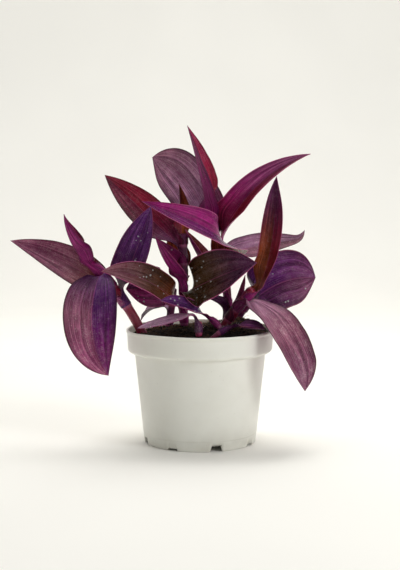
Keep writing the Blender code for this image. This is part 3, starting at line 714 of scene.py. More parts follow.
PAD_RADIUS = 29.0  # flat middle of the underside
CHANNEL_INNER = 32.0  # raised drainage channel round the pad
CHANNEL_OUTER = 41.5
CHANNEL_HEIGHT = 3.4
WALL_TOP_RADIUS = 53.3  # outer radius just under the band
BAND_LOW_RADIUS = 58.9  # outer radius at the band's lower corner
NOTCH_COUNT = 8
NOTCH_HEADING = -73.5  # heading of the first, tall notch
TALL_NOTCH = (10.5, 7.5, 5.4)  # width at the foot, width at the top, height
LOW_NOTCH = (9.5, 8.0, 2.0)
NOTCH_DEPTH = 2.0  # how far a notch's wedge reaches below the foot
GAP = 0.3  # between neighbouring pieces
SWAY_FROM, SWAY_OVER = 30.0, 20.0  # radii between which the moulding's unevenness sets in
SWAY_HEIGHT = 93.0  # height at which it is full
SWAY_OUT, SWAY_UP = 0.45, 0.28  # how far it moves the wall outwards and upwards
SOIL_BUMPS = ((36.0, 26.0, 14.0, 8.0), (-16.0, -42.0, 20.0, -2.5))  # x, y, spread and height
LUMP_HEIGHT, LUMP_LENGTH, LUMP_SEED = 0.9, 13.0, 11
SOIL_RINGS, SOIL_SEGMENTS = 64, 144
TOP_MARK = 200.0  # stands for the height of the mix's top until its lumps are worked out
GRAIN_SEED = 5  # of the crumbs and fibres
CRUMB_MARGIN = 2.0  # free ring between the crumbs' middles and the mix's edge
CRUMB_SIZE, CRUMB_SHAPE = (0.35, 1.0), (0.7, 1.9)  # ranges of a crumb's size and of its three radii
CRUMB_DENTS, CRUMB_FLATNESS = (0.75, 1.25), 0.7
FIBRE_MARGIN = 9.0
FIBRE_HEAP = 0.45  # share of the fibres that lie in the heap
HEAP_HEADING, HEAP_SPREAD = 0.75, 0.35  # of the heap, in radians
FIBRE_LENGTH, FIBRE_RADIUS = (3.0, 11.0), (0.10, 0.26)


def wall_radius(pot, height):
    """Outer radius of the tapering wall below the band."""
    foot = pot.foot_radius / MM
    rise = (pot.height - pot.band_height) / MM
    return foot + (WALL_TOP_RADIUS - foot) * height / rise


def pot_profile(pot):
    """The moulding's section with rounded corners: underside, outside, lip, inside and floor."""
    top, rim, wall = pot.height / MM, pot.rim_radius / MM, pot.wall / MM
    band_low = top - pot.band_height / MM
    foot = pot.foot_radius / MM
    floor = CHANNEL_HEIGHT + wall
    return rounded(
        [
            (0.0, 0.0, 0.0),
            (PAD_RADIUS, 0.0, 0.6),
            (CHANNEL_INNER, CHANNEL_HEIGHT, 0.8),
            (CHANNEL_OUTER, CHANNEL_HEIGHT, 0.8),
            (CHANNEL_OUTER + 1.8, 0.0, 0.5),
            (foot, 0.0, 0.9),
            (wall_radius(pot, 8.0), 8.0, 0.4),
            (wall_radius(pot, 8.4) + 0.25, 8.5, 0.3),
            (wall_radius(pot, 40.0) + 0.1, 40.0, 6.0),
            (WALL_TOP_RADIUS, band_low - 1.0, 0.8),
            (WALL_TOP_RADIUS + 0.8, band_low + 0.1, 0.5),
            (BAND_LOW_RADIUS - 0.1, band_low, 3.2),
            (rim - 0.7, top - 3.4, 0.5),
            (rim - 0.5, top - 2.2, 0.4),
            (rim, top - 1.9, 0.4),
            (rim, top, 0.8),
            (rim - wall * 1.4, top, 0.5),
            (rim - 0.7 - wall, top - 3.0, 1.0),
            (BAND_LOW_RADIUS - wall, band_low + wall, 1.6),
            (WALL_TOP_RADIUS - wall * 0.5, band_low + wall * 0.6, 0.6),
            (WALL_TOP_RADIUS - wall, band_low - wall, 0.6),
            (wall_radius(pot, floor) - wall, floor, 0.8),
            (CHANNEL_INNER - wall * 0.4, floor, 0.5),
            (PAD_RADIUS - wall * 0.4, wall, 0.5),
            (0.0, wall, 0.0),
        ]
    )


def pot_wobble(radii, heights, angles):
    """A thin moulding's slight unevenness: it grows towards the rim and fades out at the foot."""
    share = np.clip(heights / SWAY_HEIGHT, 0.0, 1.0) ** 2 * np.clip((radii - SWAY_FROM) / SWAY_OVER, 0.0, 1.0)
    radii = radii + share * SWAY_OUT * (np.sin(2 * angles + 0.6) + 0.5 * np.sin(3 * angles + 2.0))
    heights = heights + share * SWAY_UP * (np.sin(3 * angles + 1.1) + 0.6 * np.sin(5 * angles))
    return radii, heights


def notch_points(low_width, high_width, height, heading, outer):
    """Corners of a wedge that cuts one drainage notch through the foot of the wall."""
    corners = []
    for radius in (CHANNEL_OUTER - 1.0, outer):
        for level in (-NOTCH_DEPTH, height):
            half = high_width / 2 + (low_width - high_width) / 2 * (height - level) / height
            corners += [(radius, -half, level), (radius, half, level)]
    x, y, z = np.array(corners).T
    return np.stack([*turn_about_z(x, y, math.radians(heading)), z], axis=1)


def build_pot():
    """The turned pot with its drainage notches cut through the foot."""
    pot = bpy.context.scene.plant_pot
    points, faces = turned(pot_profile(pot), pot.segments, pot_wobble)
    made = add_object("nursery_pot", points, faces, pot_finish(pot), sharp_degrees=38.0)
    box = [(0, 2, 3, 1), (4, 5, 7, 6), (0, 1, 5, 4), (2, 6, 7, 3), (0, 4, 6, 2), (1, 3, 7, 5)]
    cutters = []
    for number in range(NOTCH_COUNT):
        sizes = TALL_NOTCH if number % 2 == 0 else LOW_NOTCH
        heading = NOTCH_HEADING + number * 360.0 / NOTCH_COUNT
        corners = notch_points(*sizes, heading, pot.foot_radius / MM + 4.0)
        cutter = add_object(f"notch_{number}", corners, box, None)
        step = made.modifiers.new("notch", "BOOLEAN")
        step.operation = "DIFFERENCE"
        step.object = cutter
        cutters.append(cutter)
    bake_modifiers(made)
    for cutter in cutters:
        bpy.data.objects.remove(cutter, do_unlink=True)
    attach(made, "root")
    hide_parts("pot")


def bake_modifiers(made):
    """Replace a piece's mesh with its evaluated one and drop its modifiers."""
    shown = made.evaluated_get(bpy.context.evaluated_depsgraph_get())
    mesh = bpy.data.meshes.new_from_object(shown)
    made.modifiers.clear()
    made.data = mesh


def dome_height(x, y):
    """Height of the smooth dome in which the stems are planted."""
    mix = bpy.context.scene.plant_mix
    share = np.clip(np.hypot(x, y) / (bpy.context.scene.plant_pot.rim_radius / MM), 0.0, 1.0)
    return mix.edge / MM + (mix.crown - mix.edge) / MM * np.cos(share * math.pi / 2)


def soil_height(x, y):
    """Height of the mix: the dome with a mound at the back right, a hollow in front and lumps."""
    height = dome_height(x, y)
    for middle_x, middle_y, spread, rise in SOIL_BUMPS:
        height = height + rise * np.exp(-((x - middle_x) ** 2 + (y - middle_y) ** 2) / 2 / spread**2)
    return height + LUMP_HEIGHT * ground_noise(x, y, LUMP_SEED, LUMP_LENGTH)


def build_soil():
    """The mix: a turned body inside the pot whose top follows the lumpy height, with loose bits on it."""
    pot, mix = bpy.context.scene.plant_pot, bpy.context.scene.plant_mix
    wall = pot.wall / MM
    band_low = (pot.height - pot.band_height) / MM
    floor = CHANNEL_HEIGHT + wall + GAP
    edge = BAND_LOW_RADIUS - wall - GAP - 0.3
    side = [
        (0.0, wall + GAP),
        (PAD_RADIUS - wall * 0.4 - GAP, wall + GAP),
        (CHANNEL_INNER - wall * 0.4 - GAP, floor),
        (wall_radius(pot, floor) - wall - 1.0 - GAP, floor),
        (wall_radius(pot, floor) - wall - GAP - 0.1, floor + 0.8),
        (WALL_TOP_RADIUS - wall - GAP - 0.2, band_low - wall),
        (WALL_TOP_RADIUS - wall * 0.5 - GAP - 0.2, band_low + wall + GAP + 0.2),
        (BAND_LOW_RADIUS - wall * 1.5 - 1.0 - GAP, band_low + wall + GAP + 0.2),
        (edge, band_low + 4.0),
    ]
    radii = edge * np.linspace(1.0, 0.0, SOIL_RINGS)
    profile = np.concatenate([np.array(side), np.stack([radii, np.full(SOIL_RINGS, TOP_MARK)], axis=1)])

    def shape(radius, height, angles):
        """Top rings take the lumpy height; the rest stays."""
        bumpy = soil_height(radius * np.cos(angles), radius * np.sin(angles))
        return radius, np.where(height == TOP_MARK, bumpy, height)

    points, faces = turned(profile, SOIL_SEGMENTS, shape)
    points[-1, 2] = soil_height(np.array(0.0), np.array(0.0))
    made = add_object("peat_mix", points, faces, mix_finish(mix), sharp_degrees=60.0)
    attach(made, "root")
    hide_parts("potting_mix")
    chance = np.random.default_rng(GRAIN_SEED)
    finish = grain_finish(mix)
    build_crumbs(mix.grains, edge, chance, finish)
    build_fibres(mix.fibres, edge, chance, finish)


def strands(starts, ways, lengths, radii, bend, rings=6, sides=3):
    """Thin tapering closed tubes, all at once: each runs from its start along its way and bends.

    A strand's line is start + way * t * length + bend * t^2 * length; its radius falls to a tenth at
    the far end; its sections are triangles turned round the way.
    """
    share = np.linspace(0.0, 1.0, rings)
    path = ways[:, None] * share[:, None] + bend[:, None] * share[:, None] ** 2
    line = starts[:, None] + path * lengths[:, None, None]
    aside = unit(np.cross(ways, np.array([0.31, 0.74, 0.6])))
    other = np.cross(ways, aside)
    angles = np.arange(sides) * 2 * math.pi / sides
    spoke = aside[:, None] * np.cos(angles)[:, None] + other[:, None] * np.sin(angles)[:, None]
    thick = radii[:, None] * (1.0 - 0.9 * share)
    points = line[:, :, None] + spoke[:, None] * thick[..., None, None]
    index = np.arange(rings * sides).reshape(rings, sides)
    tube = grid_faces(rings, sides, closed=True)
    offsets = np.arange(len(starts)) * rings * sides
    quads = (tube[None] + offsets[:, None, None]).reshape(-1, 4)
    ends = index[0][::-1] + offsets[:, None], index[-1] + offsets[:, None]
    return points.reshape(-1, 3), [*quads, *ends[0], *ends[1]]


def ball_mesh():
    """Corners and outward faces of a regular icosahedron: the faces join corners that are neighbours."""
    golden = (1 + math.sqrt(5)) / 2
    corners = np.array([(0, s, t * golden) for s in (-1, 1) for t in (-1, 1)], dtype=float)
    corners = np.concatenate([corners, np.roll(corners, 1, axis=1), np.roll(corners, 2, axis=1)])
    near = np.linalg.norm(corners[:, None] - corners[None], axis=-1) < 2.1
    near &= ~np.eye(len(corners), dtype=bool)
    faces = []
    for a, b, c in combinations(range(len(corners)), 3):
        if near[a, b] and near[b, c] and near[a, c]:
            normal = np.cross(corners[b] - corners[a], corners[c] - corners[a])
            faces.append((a, b, c) if normal @ corners[a] > 0 else (a, c, b))
    return unit(corners), np.array(faces)


def build_crumbs(count, edge, chance, finish):
    """Loose crumbs of peat and bark: balls of random size, dented and flattened, strewn on the mix."""
    ball, faces = ball_mesh()
    radius = (edge - CRUMB_MARGIN) * np.sqrt(chance.uniform(0, 1, count))
    angle = chance.uniform(0, 2 * math.pi, count)
    x, y = radius * np.cos(angle), radius * np.sin(angle)
    centre = np.stack([x, y, soil_height(x, y) + 0.1], axis=1)
    sizes = chance.uniform(*CRUMB_SIZE, (count, 1)) ** 2 * chance.uniform(*CRUMB_SHAPE, (count, 3))
    dents = chance.uniform(*CRUMB_DENTS, (count, len(ball), 1))
    turn = chance.uniform(0, 2 * math.pi, count)[:, None]
    x, y, z = np.moveaxis(ball[None] * dents * sizes[:, None], -1, 0)
    balls = np.stack([*turn_about_z(x, y, turn), z * CRUMB_FLATNESS], axis=-1)
    points = (balls + centre[:, None]).reshape(-1, 3)
    faces = (faces[None] + np.arange(count)[:, None, None] * len(ball)).reshape(-1, 3)
    shade = np.repeat(chance.beta(1.6, 2.4, count), len(ball))
    crumbs = add_object("peat_crumbs", points, faces, finish, {GRAIN_SHADE: shade})
    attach(crumbs, "root")


def build_fibres(count, edge, chance, finish):
    """Fibres and roots on the mix: nearly half of them lie towards the back right; all sag."""
    radius = (edge - FIBRE_MARGIN) * np.sqrt(chance.uniform(0, 1, count))
    heaped = chance.uniform(0, 1, count) < FIBRE_HEAP
    heap = chance.normal(HEAP_HEADING, HEAP_SPREAD, count)
    angle = np.where(heaped, heap, chance.uniform(0, 2 * math.pi, count))
    x, y = radius * np.cos(angle), radius * np.sin(angle)
    starts = np.stack([x, y, soil_height(x, y) - 0.3], axis=1)
    heading = chance.uniform(0, 2 * math.pi, count)
    rise = chance.uniform(0.05, 0.75, count)
    ways = np.stack([np.cos(heading) * np.cos(rise), np.sin(heading) * np.cos(rise), np.sin(rise)], axis=1)
    lengths = chance.uniform(*FIBRE_LENGTH, count)
    sideways = np.cross(ways, [0.0, 0.0, 1.0]) * chance.uniform(-0.6, 0.6, (count, 1))
    bend = sideways + np.array([0.0, 0.0, -1.0]) * chance.uniform(0.3, 0.9, (count, 1))
    reach = starts + (ways + bend) * lengths[:, None]
    lengths[np.hypot(reach[:, 0], reach[:, 1]) > edge - 1.0] *= 0.35
    points, faces = strands(starts, ways, lengths, chance.uniform(*FIBRE_RADIUS, count), bend)
    shade = np.repeat(chance.uniform(0.35, 1.0, count), len(points) // count)
    fibres = add_object("peat_fibres", points, faces, finish, {GRAIN_SHADE: shade})
    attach(fibres, "root")


# --- Stems -----------------------------------------------------------------------------------

LINE_STEPS = 200  # a stem's centre line is summed up in this many points
SWELL_BELOW, SWELL_SPREAD = 0.8, 1.3  # how far below its node a swelling sits; spread of its bell curve
RIBS, RIB_HEIGHT = 9, 0.06


def stem_line(stem, along):
    """Points and directions on a stem at distances from the mix; its lean grows evenly on the way up."""
    fine = np.linspace(-STEM_DEPTH - 2.0, stem.length, LINE_STEPS)
    lean = np.radians(stem.lean + stem.bend * np.clip(fine / stem.length, 0.0, 1.0))
    turn = math.radians(stem.heading)
    ways = np.stack([np.sin(lean) * math.cos(turn), np.sin(lean) * math.sin(turn), np.cos(lean)], axis=1)
    line = running_sum(ways, fine)
    line += np.array([stem.x, stem.y, dome_height(stem.x, stem.y)]) - read_off(line, fine, 0.0)
    return read_off(line, fine, along), unit(read_off(ways, fine, along))


def build_stem(stem, colours):
    """A fleshy stem: a tube that swells at each node, has faint ribs and ends in a dome.

    Radius = stem radius * (1 + slow waves) + swelling * bell curve at each node + ribs round the stem.
    """
    settings = bpy.context.scene.plant_stems
    nodes = [leaf.node for leaf in LEAVES if leaf.stem == stem.name]
    rings = int((stem.length + STEM_DEPTH) * MM / settings.ring_step) + 1
    dome = np.linspace(0.0, math.pi / 2, 7)[1:]
    body = np.linspace(-STEM_DEPTH, stem.length - stem.radius * 0.5, rings)
    along = np.concatenate([body, body[-1] + stem.radius * 0.5 * np.sin(dome)])
    shrink = np.concatenate([np.ones(rings), np.cos(dome) * 0.97 + 0.03])
    centres, ways = stem_line(stem, along)
    turn = math.radians(stem.heading)
    across = np.array([-math.sin(turn), math.cos(turn), 0.0])
    ahead = np.cross(ways, across)
    angles = np.arange(settings.sides) * 2 * math.pi / settings.sides
    bell = np.zeros(len(along))
    for node in nodes:
        bell = bell + np.exp(-(((along - node + SWELL_BELOW) / SWELL_SPREAD) ** 2))
    radius = stem.radius * (0.97 + 0.02 * ripple(along / 9.0, 3)) + settings.swelling / MM * bell
    radii = (radius[:, None] + RIB_HEIGHT * np.sin(RIBS * angles)[None]) * shrink[:, None]
    spokes = across * np.cos(angles)[None, :, None] + ahead[:, None] * np.sin(angles)[None, :, None]
    points = (centres[:, None] + spokes * radii[..., None]).reshape(-1, 3)
    index = np.arange(len(points)).reshape(radii.shape)
    faces = [*grid_faces(*radii.shape, closed=True), index[0][::-1], index[-1]]
    around = 0.5 + 0.5 * np.sin(angles)
    parts = (around, along[:, None], np.clip(bell, 0, 1)[:, None])
    place = np.stack([np.broadcast_to(part, radii.shape) for part in parts], axis=-1).reshape(-1, 3)
    finish = stem_finish("skin_" + stem.name, stem.skin, colours)
    made = add_object("fleshy_" + stem.name, points, faces, finish, {STEM_PLACE: place}, sharp_degrees=70.0)
    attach(made, "root")
    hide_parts(stem.name)


# --- Leaves ----------------------------------------------------------------------------------

MIDRIB_STEPS, SECTION_STEPS = 400, 61  # points in which a midrib and half a section are summed up
CREASE = 0.12  # share of the half width over which the fold's slope is reached
HAIR_SEED, DROP_SEED = 21, 8
HAIR_LENGTH, HAIR_RADIUS = (1.2, 3.4), 0.055
DROP_RADIUS, DROP_RINGS, DROP_SIDES = (0.35, 0.95), 5, 10
DROP_TOP, DROP_SUNK = 0.7, 0.15  # how high a drop stands and how deep it sits, in shares of its radius


def stem_of(leaf):
    """The stem that a leaf grows on."""
    return next(stem for stem in STEMS if stem.name == leaf.stem)


def blade_frame(heading, rise, roll):
    """Forward, sideways and upward vectors of a blade from its heading, rise and roll in degrees."""
    heading, rise, roll = np.radians(heading), np.radians(rise), np.radians(roll)
    across = np.stack([-np.sin(heading), np.cos(heading), np.zeros_like(heading)], axis=-1)
    level = np.stack([np.cos(heading), np.sin(heading), np.zeros_like(heading)], axis=-1)
    ahead = level * np.cos(rise)[..., None]
    ahead[..., 2] = np.sin(rise)
    upper = np.cross(ahead, across)
    sideways = across * np.cos(roll)[..., None] + upper * np.sin(roll)[..., None]
    return ahead, sideways, np.cross(ahead, sideways)


def sheath_radius(stem):
    """Radius of the sheet's middle surface where it is rolled round the stem."""
    return stem.radius + SHEET_OFFSET


def leaf_midrib(leaf, along):
    """Points and frames on a leaf's midrib: it follows the stem, then turns into the blade's own curve.

    Over the blade the heading changes by the sweep and the rise falls by the droop, the roll comes in
    over the first part, and the blade turns within its own plane: by the bend times the distance squared,
    and by the hook over the last fifth.
    """
    stem = stem_of(leaf)
    node, stem_way = stem_line(stem, float(leaf.node))
    turn = math.radians(leaf.heading)
    out = np.array([math.cos(turn), math.sin(turn), 0.0])
    side = unit(out - stem_way * (out @ stem_way))
    fine = np.linspace(0.0, SHEATH + TURN + leaf.length, MIDRIB_STEPS)
    share = np.clip((fine - SHEATH - TURN / 2) / (leaf.length + TURN / 2), 0.0, 1.0)
    forward, aside, _upward = blade_frame(
        leaf.heading + leaf.sweep * share,
        leaf.rise - leaf.droop * share,
        leaf.roll * smooth(share * 100 / leaf.settle),
    )
    bend = np.radians(leaf.bend * share**2 + leaf.hook * smooth((share - 0.8) / 0.2))[:, None]
    cosine, sine = np.cos(bend), np.sin(bend)
    forward, aside = forward * cosine + aside * sine, aside * cosine - forward * sine
    mix = smooth((fine - SHEATH) / TURN)[:, None]
    ahead = unit(stem_way * (1 - mix) + forward * mix)
    across = np.cross(-side, stem_way) * (1 - mix) + aside * mix
    across = unit(across - ahead * np.sum(across * ahead, axis=1, keepdims=True))
    upper = np.cross(ahead, across)
    line = running_sum(ahead, fine) + node + side * sheath_radius(stem)
    return [read_off(part, fine, along) for part in (line, across, upper)]


def half_width(leaf, along):
    """Half the width of the flattened sheet: nearly once round the stem, narrowing to the neck, then the
    lance-shaped blade, whose outline is one power curve up to the widest place and another after it."""
    stem = stem_of(leaf)
    neck = math.radians(NECK_CLASP) * (stem.radius / math.cos(math.pi / STEM_FACETS) + 2 * GAP + 0.6)
    wrap = math.radians(SHEATH_WRAP) * sheath_radius(stem)
    share = np.clip((along - SHEATH - TURN * 0.3) / (leaf.length + TURN * 0.7), 0.0, 1.0)
    widest = leaf.widest / 100
    narrow = 1.0 - 2 * neck / leaf.width
    before = 1.0 - narrow * np.clip(1.0 - share / widest, 0.0, 1.0) ** leaf.base
    after = 1.0 - np.clip((share - widest) / (1.0 - widest), 0.0, 1.0) ** leaf.tip
    blade = leaf.width / 2 * np.where(share < widest, before, after)
    sheath = wrap + (neck - wrap) * smooth((along - 0.35 * SHEATH) / (0.65 * SHEATH + 0.3 * TURN))
    return np.maximum(np.where(share > 0.0, blade, sheath), NARROWEST)


def section(leaf, along, across):
    """Sideways offset, upward offset and slope of the sheet at each station and share of its width.

    The slope grows from the midrib: quickly to the fold's angle, then evenly by the curl; in the sheath
    it grows evenly to the angle that rolls the sheet round the stem.
    """
    width = half_width(leaf, along)[:, None]
    opened = smooth((along - SHEATH) / (TURN * 0.7))[:, None]
    folded = smooth((along - SHEATH - TURN * 0.5) / (TURN * 0.5 + leaf.length * 0.25))[:, None]
    crease = np.radians(leaf.fold) * folded
    curl = width / sheath_radius(stem_of(leaf)) * (1 - opened) + np.radians(leaf.curl) * opened
    fine = np.linspace(0.0, 1.0, SECTION_STEPS)
    slope = crease * np.tanh(fine / CREASE) + curl * fine
    flat = running_sum(np.cos(slope).T, fine).T
    up = running_sum(np.sin(slope).T, fine).T
    side = np.sign(across)
    sampled = [np.stack([np.interp(np.abs(across), fine, row) for row in rows]) for rows in (flat, up, slope)]
    return sampled[0] * side * width, sampled[1] * width, sampled[2] * side


def leaf_thickness(leaf, along, across):
    """Thickness: the sheath's, rising to the blade's, thinner to the edges and to the tip."""
    settings = bpy.context.scene.plant_leaves
    middle, edge = settings.midrib / MM, settings.edge / MM
    blade = smooth((along - SHEATH) / TURN)[:, None]
    tip = 1.0 - 0.4 * smooth((along - SHEATH - TURN - leaf.length * 0.6) / (leaf.length * 0.4))[:, None]
    thick = edge + (middle - edge) * (1.0 - across**2) ** 1.5
    return (edge * 0.9 * (1 - blade) + thick * blade) * tip


def leaf_sheet(leaf, along, across, lift):
    """A grid of points on the leaf, lift times half its thickness above the middle surface.

    The blade's edges ripple: a few slow waves, different on the two sides, that grow with the cube of the
    distance from the midrib.
    """
    line, sideways, upper = leaf_midrib(leaf, along)
    x, z, slope = section(leaf, along, across)
    seed = LEAVES.index(leaf)
    share = np.clip((along - SHEATH - TURN) / leaf.length, 0.0, 1.0)
    envelope = np.sin(share * math.pi) ** 0.7
    left = ripple(share * 9.0, seed) * envelope
    right = ripple(share * 9.0, seed + 100) * envelope
    sway = ripple(share * 4.0, seed + 200, 2) * envelope
    waves = np.where(across > 0, left[:, None], right[:, None]) * np.abs(across) ** 3 + sway[:, None] * 0.5
    z = z + leaf.wave * waves
    thick = leaf_thickness(leaf, along, across)
    x = x - np.sin(slope) * lift * thick / 2
    z = z + np.cos(slope) * lift * thick / 2
    return line[:, None] + x[..., None] * sideways[:, None] + z[..., None] * upper[:, None]


def leaf_stations(leaf, steps):
    """Distances from the node: close together where the sheath opens, even along the blade."""
    sheath = np.linspace(0.0, SHEATH, 9)[:-1]
    opening = np.linspace(SHEATH, SHEATH + TURN, 17)[:-1]
    blade = SHEATH + TURN + leaf.length * np.sin(np.linspace(0.0, math.pi / 2, steps + 1)) ** 0.9
    even = SHEATH + TURN + leaf.length * np.linspace(0.0, 1.0, steps + 1)
    return np.concatenate([sheath, opening, (blade + even) / 2])


def build_leaf(leaf, colours):
    """One leaf: its upper grid, its lower grid and the strip that joins them round the edge."""
    settings = bpy.context.scene.plant_leaves
    along = leaf_stations(leaf, settings.along)
    across = np.linspace(-1.0, 1.0, settings.across + 1)
    across = np.sign(across) * np.abs(across) ** 0.92
    rows, columns = len(along), len(across)
    index = np.arange(rows * columns).reshape(rows, columns)
    top = np.stack([index[:-1, :-1], index[1:, :-1], index[1:, 1:], index[:-1, 1:]], axis=-1).reshape(-1, 4)
    under = top[:, ::-1] + rows * columns
    rim = np.concatenate([index[0, :], index[1:, -1], index[-1, -2::-1], index[-2:0:-1, 0]])
    after = np.roll(rim, -1)
    strip = np.stack([rim, after, after + rows * columns, rim + rows * columns], axis=-1)
    points = np.concatenate([leaf_sheet(leaf, along, across, lift).reshape(-1, 3) for lift in (1.0, -1.0)])
    u = np.broadcast_to((across + 1) / 2, (rows, columns))
    v = np.broadcast_to((along / along[-1])[:, None], (rows, columns))
    place = np.stack([np.stack([u, v, np.full_like(u, face)], axis=-1) for face in (1.0, 0.0)]).reshape(-1, 3)
    look = LOOKS[leaf.name]
    finish = leaf_finish("skin_" + leaf.name, look, colours)
    faces = np.concatenate([top, under, strip])
    made = add_object("grown_" + leaf.name, points, faces, finish, {LEAF_PLACE: place}, sharp_degrees=75.0)
    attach(made, "root")
    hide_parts(leaf.name)


def build_hairs(colours):
    """Silky hairs along both edges of every sheath's mouth, each bending outwards and up."""
    count = bpy.context.scene.plant_stems.hairs
    chance = np.random.default_rng(HAIR_SEED)
    starts, ways = [], []
    for leaf in LEAVES:
        along = np.sort(chance.uniform(SHEATH * 0.35, SHEATH + TURN * 0.6, count))
        edges = leaf_sheet(leaf, along, np.array([-1.0, 1.0]), 0.0)
        line, sideways, upper = leaf_midrib(leaf, along)
        pick = chance.integers(0, 2, count)
        start = edges[np.arange(count), pick]
        away = unit(start - line + upper * 0.5)
        ahead = np.cross(sideways, upper)
        starts.append(start)
        ways.append(unit(ahead * 0.8 + away * 0.5 + chance.normal(0.0, 0.25, (count, 3))))
    starts, ways = np.concatenate(starts), np.concatenate(ways)
    total = len(starts)
    bend = chance.normal(0.0, 0.2, (total, 3))
    lengths, radii = chance.uniform(*HAIR_LENGTH, total), np.full(total, HAIR_RADIUS)
    points, faces = strands(starts, ways, lengths, radii, bend, rings=5)
    hairs = add_object("silky_hairs", points, faces, hair_finish(colours))
    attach(hairs, "root")


def build_dew():
    """Drops of water: flattened domes set on the leaves' upper faces, closed underneath."""
    chance = np.random.default_rng(DROP_SEED)
    lean = np.linspace(0.0, math.pi / 2, DROP_RINGS)[1:]
    ring = np.arange(DROP_SIDES)
    angles = ring * 2 * math.pi / DROP_SIDES
    flat = np.sin(lean)[:, None]
    height = np.cos(lean)[:, None] * np.ones(DROP_SIDES) * DROP_TOP
    cap = np.stack([flat * np.cos(angles), flat * np.sin(angles), height], axis=-1).reshape(-1, 3)
    shape = np.concatenate([cap, [[0.0, 0.0, DROP_TOP], [0.0, 0.0, -DROP_SUNK]]])
    quads = grid_faces(DROP_RINGS - 1, DROP_SIDES, closed=True)[:, ::-1]
    low = ring + (DROP_RINGS - 2) * DROP_SIDES
    caps = [(len(cap), a, b) for a, b in zip(ring, np.roll(ring, -1))]
    caps += [(len(cap) + 1, b, a) for a, b in zip(low, np.roll(low, -1))]
    points, faces = [], []
    for leaf in LEAVES:
        if leaf.name not in DEW:
            continue
        count, start, end = DEW[leaf.name]
        total = SHEATH + TURN + leaf.length
        along = np.sort(chance.uniform(start, end, count)) * total
        shares = chance.uniform(-0.85, 0.85, count)
        for distance, share in zip(along, shares):
            nearby = np.array([distance, distance + 0.5]), np.array([share, share + 0.02])
            patch = leaf_sheet(leaf, *nearby, 1.0)
            forward, aside = unit(patch[1, 0] - patch[0, 0]), unit(patch[0, 1] - patch[0, 0])
            upward = unit(np.cross(forward, aside))
            aside = np.cross(upward, forward)
            radius = chance.uniform(*DROP_RADIUS)
            offset = sum(len(part) for part in points)
            points.append(patch[0, 0] + radius * (shape @ np.stack([forward, aside, upward])))
            faces += [np.array(face) + offset for face in (*quads, *caps)]
    made = add_object("dew_drops", np.concatenate(points), faces, dew_finish())
    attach(made, "root")


# --- Stage -----------------------------------------------------------------------------------

SWEEP_FRONT, SWEEP_BACK, SWEEP_SIDE = -2600.0, 900.0, 3000.0  # flat part of the sweep
SWEEP_RADIUS, SWEEP_TOP = 700.0, 2600.0  # its curve at the back and its upper edge
CAMERA_SPOT = (0.0, -1.0346, 0.2312)
CAMERA_TILT = 84.324  # from looking straight down
CAMERA_LENS, CAMERA_SENSOR = 80.6, 36.0
CAMERA_NEAR = 0.05


def add_lamp(name, spot, aim, width, height, power, colour):
    """A soft rectangular lamp at a spot, turned towards an aim."""
    lamp = bpy.data.lights.new(name, "AREA")
    lamp.shape = "RECTANGLE"
    lamp.size, lamp.size_y = width, height
    lamp.energy = power
    lamp.color = colour
    made = bpy.data.objects.new(name, lamp)
    way = np.array(aim) - np.array(spot)
    made.location = spot
    tilt = math.atan2(math.hypot(way[0], way[1]), -way[2])
    made.rotation_euler = (tilt, 0.0, math.atan2(way[1], way[0]) - math.pi / 2)
    bpy.context.scene.collection.objects.link(made)


def build_stage():
    """A paper sweep, ambient light, soft lamps and the camera."""
    stage = bpy.context.scene.plant_stage
    arc = np.linspace(0.0, math.pi / 2, 25)[1:-1]
    bow = np.stack([SWEEP_BACK + SWEEP_RADIUS * np.sin(arc), SWEEP_RADIUS * (1.0 - np.cos(arc))], axis=1)
    wall = SWEEP_BACK + SWEEP_RADIUS
    floor = [(SWEEP_FRONT, 0.0), (SWEEP_BACK, 0.0)]
    rows = np.concatenate([floor, bow, [(wall, SWEEP_RADIUS), (wall, SWEEP_TOP)]])
    columns = np.linspace(-SWEEP_SIDE, SWEEP_SIDE, 3)
    points = np.array([[(x, y, z) for x in columns] for y, z in rows]).reshape(-1, 3)
    sweep = add_object("paper_sweep", points, grid_faces(len(rows), 3), sweep_finish(stage))

    world = bpy.data.worlds.new("studio_air")
    world.use_nodes = True
    air = world.node_tree.nodes["Background"].inputs
    air[0].default_value = (1.0, 0.99, 0.965, 1.0)
    air[1].default_value = stage.sky
    bpy.context.scene.world = world
    bpy.context.scene.view_settings.view_transform = "Standard"

    add_lamp("key_lamp", (0.04, 0.34, 1.15), (0.0, 0.0, 0.1), 0.9, 0.8, stage.key_light, (1.0, 0.985, 0.95))
    add_lamp("wall_lamp", (0.0, 0.5, 1.7), (0.0, 1.6, 0.2), 1.6, 0.6, stage.wall_light, (1.0, 0.99, 0.97))
    add_lamp("front_lamp", (1.0, -0.7, 0.6), (0.0, 0.0, 0.10), 0.4, 0.4, stage.front_light, (1.0, 1.0, 1.0))

    lens = bpy.data.cameras.new("studio_camera")
    lens.sensor_width = CAMERA_SENSOR
    lens.lens = CAMERA_LENS
    lens.clip_start = CAMERA_NEAR
    camera = bpy.data.objects.new("studio_camera", lens)
    camera.location = CAMERA_SPOT
    camera.rotation_euler = (math.radians(CAMERA_TILT), 0.0, 0.0)
    bpy.context.scene.collection.objects.link(camera)
    bpy.context.scene.camera = camera


# --- Operators, panel and registration -------------------------------------------------------


class PLANT_OT_pot(Operator):
    """Build the nursery pot"""

    bl_idname = "plant.pot"
    bl_label = "Nursery Pot"

    def execute(self, context):
        build_pot()
        return {"FINISHED"}


class PLANT_OT_mix(Operator):
    """Build the potting mix with its crumbs and fibres"""

    bl_idname = "plant.mix"
    bl_label = "Potting Mix"

    def execute(self, context):
        build_soil()
        return {"FINISHED"}


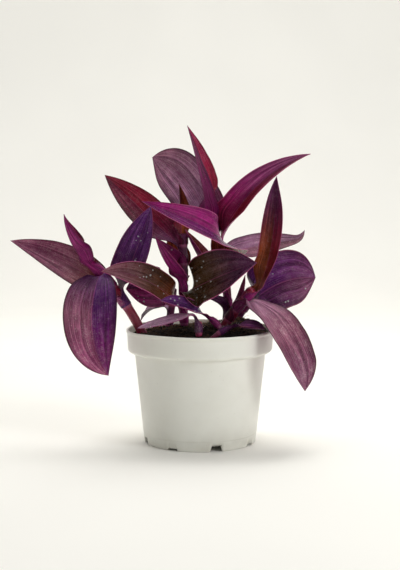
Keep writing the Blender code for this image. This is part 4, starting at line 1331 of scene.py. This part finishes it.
class PLANT_OT_stems(Operator):
    """Build every stem"""

    bl_idname = "plant.stems"
    bl_label = "Stems"

    def execute(self, context):
        colours = leaf_colours()
        for stem in STEMS:
            build_stem(stem, colours)
        return {"FINISHED"}


class PLANT_OT_leaves(Operator):
    """Build every leaf with its sheath and the hairs on the sheaths"""

    bl_idname = "plant.leaves"
    bl_label = "Leaves"

    def execute(self, context):
        colours = leaf_colours()
        for leaf in LEAVES:
            build_leaf(leaf, colours)
        build_hairs(colours)
        return {"FINISHED"}


class PLANT_OT_dew(Operator):
    """Set drops of water on the leaves"""

    bl_idname = "plant.dew"
    bl_label = "Dew"

    def execute(self, context):
        build_dew()
        return {"FINISHED"}


class PLANT_OT_stage(Operator):
    """Build the sweep, the lamps and the camera"""

    bl_idname = "plant.stage"
    bl_label = "Stage"

    def execute(self, context):
        build_stage()
        return {"FINISHED"}


OPERATORS = (PLANT_OT_pot, PLANT_OT_mix, PLANT_OT_stems, PLANT_OT_leaves, PLANT_OT_dew, PLANT_OT_stage)


class PLANT_PT_builder(Panel):
    """Lists the plant's builders"""

    bl_label = "Potted Tradescantia"
    bl_space_type = "VIEW_3D"
    bl_region_type = "UI"
    bl_category = "Plant"

    def draw(self, context):
        for operator in OPERATORS:
            self.layout.operator(operator.bl_idname)


SETTINGS = {
    "plant_pot": PotSettings,
    "plant_mix": MixSettings,
    "plant_stems": StemSettings,
    "plant_leaves": LeafSettings,
    "plant_stage": StageSettings,
}


def register():
    """Register the settings, operators and panel."""
    for made in (*SETTINGS.values(), *OPERATORS, PLANT_PT_builder):
        bpy.utils.register_class(made)
    for name, settings in SETTINGS.items():
        setattr(bpy.types.Scene, name, PointerProperty(type=settings))


def unregister():
    """Remove the settings, operators and panel."""
    for name in SETTINGS:
        delattr(bpy.types.Scene, name)
    for made in reversed((*SETTINGS.values(), *OPERATORS, PLANT_PT_builder)):
        bpy.utils.unregister_class(made)


def main():
    """Build every piece in order."""
    register()
    bpy.ops.plant.pot()
    bpy.ops.plant.mix()
    bpy.ops.plant.stems()
    bpy.ops.plant.leaves()
    bpy.ops.plant.dew()
    bpy.ops.plant.stage()


if __name__ == "__main__":
    main()
